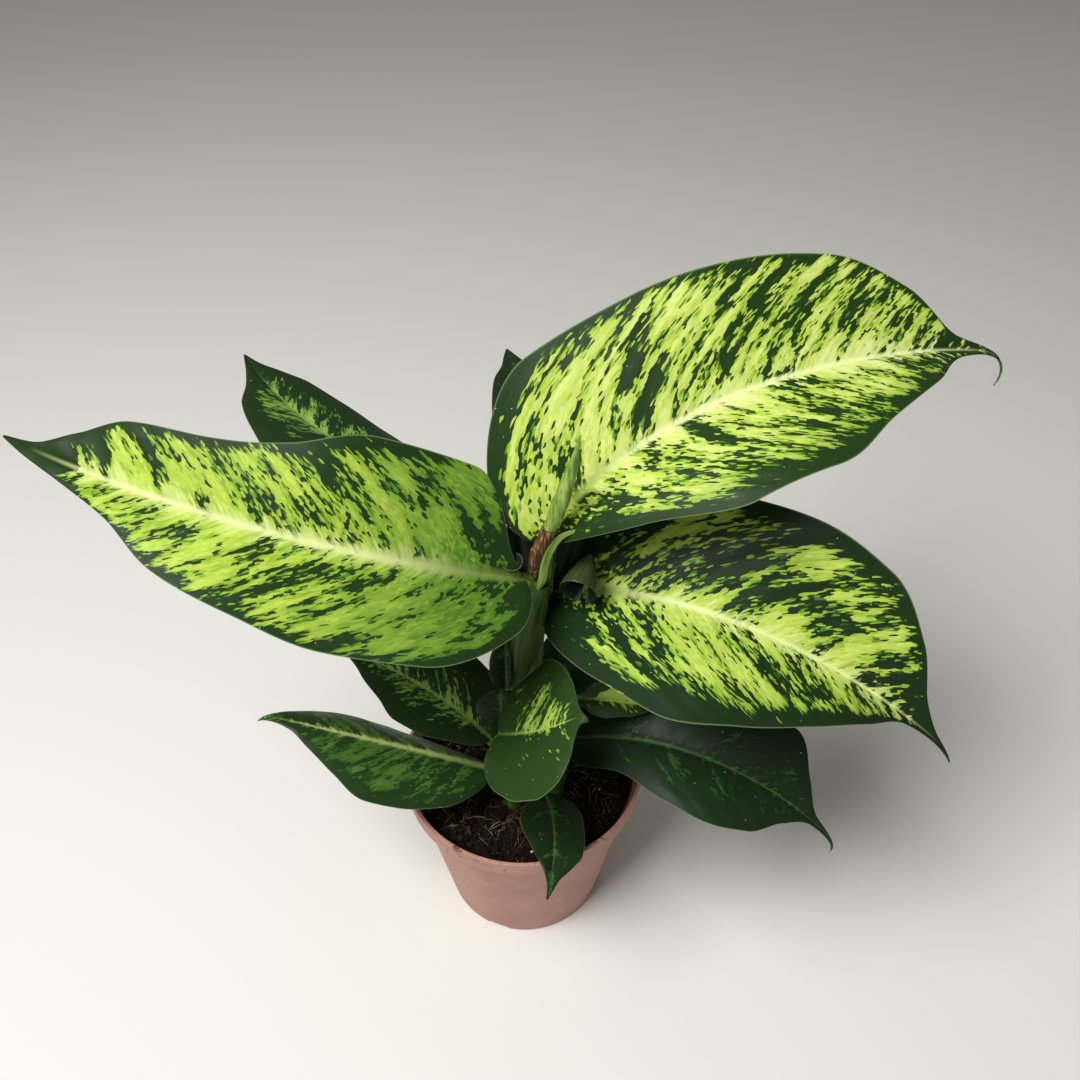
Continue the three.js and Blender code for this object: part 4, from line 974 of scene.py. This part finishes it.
def pot_tree():
    """A turned pot from its section: swept round, notches raised in its foot, drain holes cut."""
    tree, given = new_tree("turned_pot", Sides="Int", Material="Material")
    section = add(tree, "GeometryNodeMeshToCurve", [given["Geometry"]])
    round_line = add(tree, CIRCLE, {"Resolution": given["Sides"], "Radius": POT_BASE_RADIUS * MM})
    body = add(tree, "GeometryNodeCurveToMesh", {"Curve": round_line, "Profile Curve": section})
    body = add(tree, "GeometryNodeMergeByDistance", {"Geometry": body, "Distance": 0.01 * MM})
    # the foot ring's points within half a notch's width of a notch's middle
    x, y, height = add(tree, SEPARATE, [add(tree, "GeometryNodeInputPosition")]).outputs
    flat = add(tree, COMBINE, [x, y])
    radius = add(tree, VECTOR_MATH, [flat], operation="LENGTH")
    angle = add(tree, MATH, [y, x], operation="ARCTAN2")
    angle = add(tree, MATH, [angle, FOOT_NOTCH_TURN], operation="SUBTRACT")
    angle = add(tree, MATH, [angle, pi / FOOT_NOTCHES], operation="PINGPONG")
    aside = add(tree, MATH, [angle, radius], operation="MULTIPLY")
    notch = add(tree, MATH, [aside, FOOT_NOTCH_WIDTH / 2 * MM], operation="LESS_THAN")
    low = add(tree, MATH, [height, 1.2 * MM], operation="LESS_THAN")
    foot = add(tree, MATH, [radius, (POT_BASE_RADIUS - FOOT_WIDTH - 1) * MM], operation="GREATER_THAN")
    for part in (low, foot):
        notch = add(tree, MATH, [notch, part], operation="MULTIPLY")
    raised = add(tree, COMBINE, [x, y, FOOT_NOTCH_HEIGHT * MM])
    body = add(tree, SET_POSITION, {"Geometry": body, "Selection": notch, "Position": raised})
    # the drain holes, on a circle, half a step round
    circle = add(tree, "GeometryNodeMeshCircle", {"Vertices": DRAIN_HOLES, "Radius": DRAIN_HOLE_CIRCLE * MM})
    drill = add(tree, "GeometryNodeMeshCylinder", {
        "Vertices": 40, "Radius": DRAIN_HOLE_RADIUS * MM, "Depth": 20 * MM})
    drills = add(tree, "GeometryNodeInstanceOnPoints", {"Points": circle, "Instance": drill})
    drills = add(tree, "GeometryNodeTransform", {"Geometry": drills, "Rotation": (0, 0, pi / DRAIN_HOLES)})
    body = add(tree, "GeometryNodeMeshBoolean", {"Mesh 1": body, "Mesh 2": drills}, operation="DIFFERENCE",
               solver="EXACT")
    return end_tree(tree, body, given["Material"])


class PLANT_OT_pot(bpy.types.Operator):
    """The moulded plastic pot"""
    bl_idname = "plant.pot"
    bl_label = "Pot"

    def execute(self, context):
        settings = context.scene.plant_pot
        section = [((radius - POT_BASE_RADIUS) * MM, -height * MM, 0) for radius, height in pot_profile()]
        body = mesh_object("pot_body", section, edges=[(i, i + 1) for i in range(len(section) - 1)])
        grow(body, pot_tree(), sharp=35, Sides=settings.sides, Material=pot_material(settings.colour))
        finish_piece(body, "pot", "pot")
        return {"FINISHED"}


def soil_height(x, y):
    """Height of the potting mix at a place in mm: broad unevenness and fine crumbs."""
    broad = SOIL_CRUMB * (0.5 * sin(0.31 * x + 1.3) * sin(0.27 * y + 0.4)
                          + 0.3 * sin(0.83 * x - 0.6 * y) + 0.2 * cos(0.71 * y + 0.9 * x))
    fine = noise.fractal(Vector((x * 0.28, y * 0.28, 3.0)), 0.8, 2.1, 5)
    share = min(1, (x * x + y * y) ** 0.5 / SOIL_RADIUS)
    return SOIL_LEVEL - SOIL_DISH * share ** 2 + broad + 2.0 * fine


def soil_body():
    """The fill of the pot, with a fine crumbly top."""
    turns = [2 * pi * j / SOIL_SIDES for j in range(SOIL_SIDES)]
    low = POT_BASE_RADIUS - POT_WALL
    rings = []
    for radius, height in (
            (low - 2.8, POT_FLOOR + 0.4), (low - 0.7, POT_INNER_FOOT + 0.5), (SOIL_RADIUS, SOIL_LEVEL - 4)):
        rings.append([Vector((radius * cos(turn), radius * sin(turn), height)) * MM for turn in turns])
    for i in range(SOIL_CIRCLES):
        radius = SOIL_RADIUS * (1 - i / SOIL_CIRCLES)
        spots = [(radius * cos(turn), radius * sin(turn)) for turn in turns]
        rings.append([Vector((x, y, soil_height(x, y))) * MM for x, y in spots])
    points, faces = loft(rings)
    return mesh_object("potting_mix_body", points, faces=faces)


def soil_patch(name):
    """The open top of the mix, which crumbs and fibres are scattered over."""
    count = int(2 * SOIL_RADIUS / PATCH_STEP)
    index, points, faces = {}, [], []
    for i in range(count + 1):
        for j in range(count + 1):
            x, y = -SOIL_RADIUS + i * PATCH_STEP, -SOIL_RADIUS + j * PATCH_STEP
            if x * x + y * y < (SOIL_RADIUS - 1.5) ** 2:
                index[i, j] = len(points)
                points.append(Vector((x, y, soil_height(x, y))) * MM)
    for i, j in index:
        corners = [(i, j), (i + 1, j), (i + 1, j + 1), (i, j + 1)]
        if all(corner in index for corner in corners):
            faces.append(tuple(index[corner] for corner in corners))
    return mesh_object(name, points, faces=faces)


def scatter_tree(name, shape):
    """Scatters a small shape over a surface, turned and sized at random."""
    tree, given = new_tree(name, Density="Float", Least="Float", Most="Float", Tilt="Float", Seed="Int",
                           Material="Material")
    seed = given["Seed"]
    spots = add(tree, "GeometryNodeDistributePointsOnFaces", {
        "Mesh": given["Geometry"], "Density": given["Density"], "Seed": seed})
    back = add(tree, MATH, [given["Tilt"], -1.0], operation="MULTIPLY")
    low = add(tree, COMBINE, [back, back, 0.0])
    high = add(tree, COMBINE, [given["Tilt"], given["Tilt"], 2 * pi])
    turn = add(tree, "FunctionNodeRandomValue", {"Min": low, "Max": high, "Seed": seed},
               data_type="FLOAT_VECTOR")
    size = add(tree, "FunctionNodeRandomValue", {"Min": given["Least"], "Max": given["Most"], "Seed": seed},
               data_type="FLOAT")
    placed = add(tree, "GeometryNodeInstanceOnPoints", {
        "Points": spots, "Instance": shape(tree), "Rotation": turn, "Scale": size})
    return end_tree(tree, placed, given["Material"])


def crumb_shape(tree):
    """A lump one unit across, of 20 faces, pushed out of round."""
    ball = add(tree, "GeometryNodeMeshIcoSphere", {"Radius": 0.5, "Subdivisions": 1})
    rough = add(tree, NOISE, {"Scale": 2.3, "Detail": 1.0}).outputs["Color"]
    push = add(tree, VECTOR_MATH, [rough, (0.5, 0.5, 0.7)], operation="SUBTRACT")
    return add(tree, SET_POSITION, {"Geometry": ball, "Offset": push})


def fibre_shape(tree):
    """A bent thread one unit long, with three sides."""
    thread = add(tree, "GeometryNodeCurveQuadraticBezier", {
        "Resolution": 7, "Start": (-0.5, 0, 0.0), "Middle": (0.0, 0.28, 0.10), "End": (0.5, 0, 0.02)})
    section = add(tree, CIRCLE, {"Resolution": 3, "Radius": 0.013})
    return add(tree, "GeometryNodeCurveToMesh", {
        "Curve": thread, "Profile Curve": section, "Fill Caps": True})


class PLANT_OT_mix(bpy.types.Operator):
    """The potting mix with its crumbs, fibres and perlite"""
    bl_idname = "plant.mix"
    bl_label = "Potting Mix"

    def execute(self, context):
        settings = context.scene.plant_mix
        # damp peat: nearly black, with red-brown where it dries
        peat = grain_material("damp_peat", [(0.3, "#050302"), (0.70, "#2a1a12"), (0.5, "#110a07")], 2.4, 0.85)
        crumb = grain_material("peat_crumb", [(0.3, "#070403"), (0.74, "#3f2a1c"), (0.5, "#170e09")],
                               1.8, 0.8)
        # coir fibre: pale straw to brown. Perlite: chalky white grains
        fibre = grain_material("coir_fibre", [(0.3, "#3a291d"), (0.7, "#c4b192"), (0.5, "#6c543f")], 9.0, 0.6)
        perlite = grain_material("perlite", [(0.3, "#a9a498"), (0.6, "#e4e1d8")], 1.0, 0.7)
        body = soil_body()
        body.data.materials.append(peat)
        body.data.shade_smooth()
        finish_piece(body, "potting_mix", "potting_mix")
        lumps = scatter_tree("scatter_lumps", crumb_shape)
        threads = scatter_tree("scatter_threads", fibre_shape)
        widest = settings.crumb_size
        for name, tree, material, density, least, most, tilt, seed in (
                ("peat_crumbs", lumps, crumb, settings.crumbs, 0.12 * widest, widest, 3.0, 3),
                ("peat_lumps", lumps, crumb, settings.lumps, 2.5 * MM, 6 * MM, 3.0, 4),
                ("coir_fibres", threads, fibre, settings.fibres, 3 * MM, 15 * MM, 0.5, 5),
                ("perlite_grains", lumps, perlite, settings.perlite, 0.5 * MM, 1.4 * MM, 3.0, 8)):
            piece = grow(soil_patch(name), tree, sharp=30, Density=density, Least=least, Most=most, Tilt=tilt,
                         Seed=seed, Material=material)
            finish_piece(piece, "potting_mix")
        return {"FINISHED"}


class PLANT_OT_stems(bpy.types.Operator):
    """The main stem and the two basal shoots"""
    bl_idname = "plant.stems"
    bl_label = "Stems"

    def execute(self, context):
        # young stem: smooth and olive, a little paler along its streaks
        skin = stalk_material("green_stem_skin", "#2a4519", "#43621f", "#74903f", 2.0)
        tree = stalk_tree()
        for name, line in STEMS.items():
            places, radii = smooth_line(line, count=150)
            piece = stalk_line(name + "_skin", places, radii, (0, 1, 0))
            grow(piece, tree, sharp=70, Sides=28, Scars=0.3 * MM, Spacing=13 * MM, Uneven=0.9 * MM,
                 Grain=(150, 150, 90), Material=skin)
            finish_piece(piece, "stem", name)
        return {"FINISHED"}


class PLANT_OT_leaves(bpy.types.Operator):
    """The open leaves with their petioles"""
    bl_idname = "plant.leaves"
    bl_label = "Leaves"

    def execute(self, context):
        settings = context.scene.plant_leaves
        slots = {entry["node"]: entry["material_slot"] for entry in frame["record"]["subparts"]}
        uppers = {key: blade_material("waxed_leaf_" + key, {**PLAIN_LOOK, **look})
                  for key, look in LOOKS.items()}
        underside = underside_material()
        # petiole: pale olive, glossy, with fine lighter streaks
        skin = stalk_material("petiole_skin", "#34521f", "#54752c", "#93ad58")
        blade, stalk = blade_tree(), stalk_tree()
        for number, (name, form) in enumerate(LEAVES.items()):
            leaf = {**PLAIN_LEAF, **form}
            piece = blade_sheet(name + "_blade", leaf, 1.7 * number + 0.4)
            grow(piece, blade, sharp=70, Thickness=settings.thickness, Quilting=settings.quilting,
                 Upper=uppers[leaf["look"]], Underside=underside)
            finish_piece(piece, slots.get(name, "leaf_dark"), *(key for key in slots if key == name))
            piece = petiole_line(name + "_petiole", leaf)
            grow(piece, stalk, sharp=70, Sides=26, Scars=0.0, Spacing=1.0, Uneven=0.1 * MM,
                 Grain=(200, 200, 40), Material=skin)
            finish_piece(piece, "stem")
        return {"FINISHED"}


class PLANT_OT_sheaths(bpy.types.Operator):
    """The sheaths where the petioles clasp the stem"""
    bl_idname = "plant.sheaths"
    bl_label = "Sheaths"

    def execute(self, context):
        skins = {key: sheath_material(key, *colours) for key, colours in SHEATH_SKINS.items()}
        tree = blade_tree()
        for number, (name, sheath) in enumerate(SHEATHS.items()):
            piece = sheath_sheet(name, sheath, 2.3 * number)
            grow(piece, tree, sharp=70, Thickness=SHEATH_THICKNESS * MM, Quilting=0.0,
                 Upper=skins[sheath["skin"]], Underside=skins[sheath["lining"]])
            finish_piece(piece, "stem")
        return {"FINISHED"}


def bent_line(foot, middle, tip, count):
    """Places on a curve with one bend, given in mm."""
    u = np.linspace(0, 1, count)[:, None]
    foot, middle, tip = (np.array(p) * MM for p in (foot, middle, tip))
    return foot * (1 - u) ** 2 + 2 * middle * u * (1 - u) + tip * u * u, u[:, 0]


class PLANT_OT_new_leaf(bpy.types.Operator):
    """The rolled new leaf and the dry sheath round its foot"""
    bl_idname = "plant.new_leaf"
    bl_label = "New Leaf"

    def execute(self, context):
        tree = stalk_tree()
        plain = dict(Sides=48, Scars=0.0, Spacing=1.0)
        # rolled leaf: thin pale skin with a soft gloss, greener in streaks
        skin = stalk_material("rolled_leaf_skin", "#4f742b", "#8fae48", "#cfda88")
        places, u = bent_line((12, -10, 262.4), (19, -11, 284), (22, -13, 308), count=90)
        # full in the middle and pointed at the tip
        belly = np.maximum(0, np.sin(pi * np.minimum(1, 0.25 + 0.9 * u))) ** 0.8
        radii = (2.8 * (0.35 + 0.65 * belly) * (1 - u ** 6) + 0.3) * MM
        piece = stalk_line("new_leaf_roll", places, radii, (0, 1, 0), roll=0.3 * np.sin(pi * u))
        grow(piece, tree, sharp=50, Uneven=0.2 * MM, Grain=(200, 200, 30), Material=skin, **plain)
        finish_piece(piece, "new_leaf", "rolled_new_leaf")
        places, u = bent_line((6, -6, 232.4), (5, -10, 246), (12, -10, 262), count=50)
        radii = (2.0 + 1.0 * np.sin(pi / 2 * np.minimum(1, 1.7 * u))) * MM
        piece = stalk_line("dry_sheath_wrap", places, radii, (0, 1, 0), roll=0.12)
        grow(piece, tree, sharp=60, Uneven=1.6 * MM, Grain=(420, 420, 60), Material=husk_material(), **plain)
        finish_piece(piece, "dry_sheath", "dry_sheath")
        return {"FINISHED"}


class PLANT_PT_panel(bpy.types.Panel):
    """Lists the pieces and their settings"""
    bl_label = "Dieffenbachia"
    bl_idname = "PLANT_PT_panel"
    bl_space_type = "VIEW_3D"
    bl_region_type = "UI"
    bl_category = "Dieffenbachia"

    def draw(self, context):
        layout = self.layout
        for operator in OPERATORS:
            layout.operator(operator.bl_idname)
        for key in SETTINGS:
            settings = getattr(context.scene, key)
            for name in settings.__annotations__:
                layout.prop(settings, name)


OPERATORS = (PLANT_OT_stage, PLANT_OT_pot, PLANT_OT_mix, PLANT_OT_stems, PLANT_OT_leaves, PLANT_OT_sheaths,
             PLANT_OT_new_leaf)
SETTINGS = {"plant_pot": PotSettings, "plant_mix": MixSettings, "plant_leaves": LeafSettings,
            "plant_stage": StageSettings}
CLASSES = (*SETTINGS.values(), *OPERATORS, PLANT_PT_panel)


def register():
    for cls in CLASSES:
        bpy.utils.register_class(cls)
    for key, settings in SETTINGS.items():
        setattr(bpy.types.Scene, key, PointerProperty(type=settings))


def unregister():
    for key in reversed(SETTINGS):
        delattr(bpy.types.Scene, key)
    for cls in reversed(CLASSES):
        bpy.utils.unregister_class(cls)


def main():
    register()
    bpy.ops.plant.stage()
    bpy.ops.plant.pot()
    bpy.ops.plant.mix()
    bpy.ops.plant.stems()
    bpy.ops.plant.leaves()
    bpy.ops.plant.sheaths()
    bpy.ops.plant.new_leaf()
    bpy.context.view_layer.update()


if __name__ == "__main__":
    main()
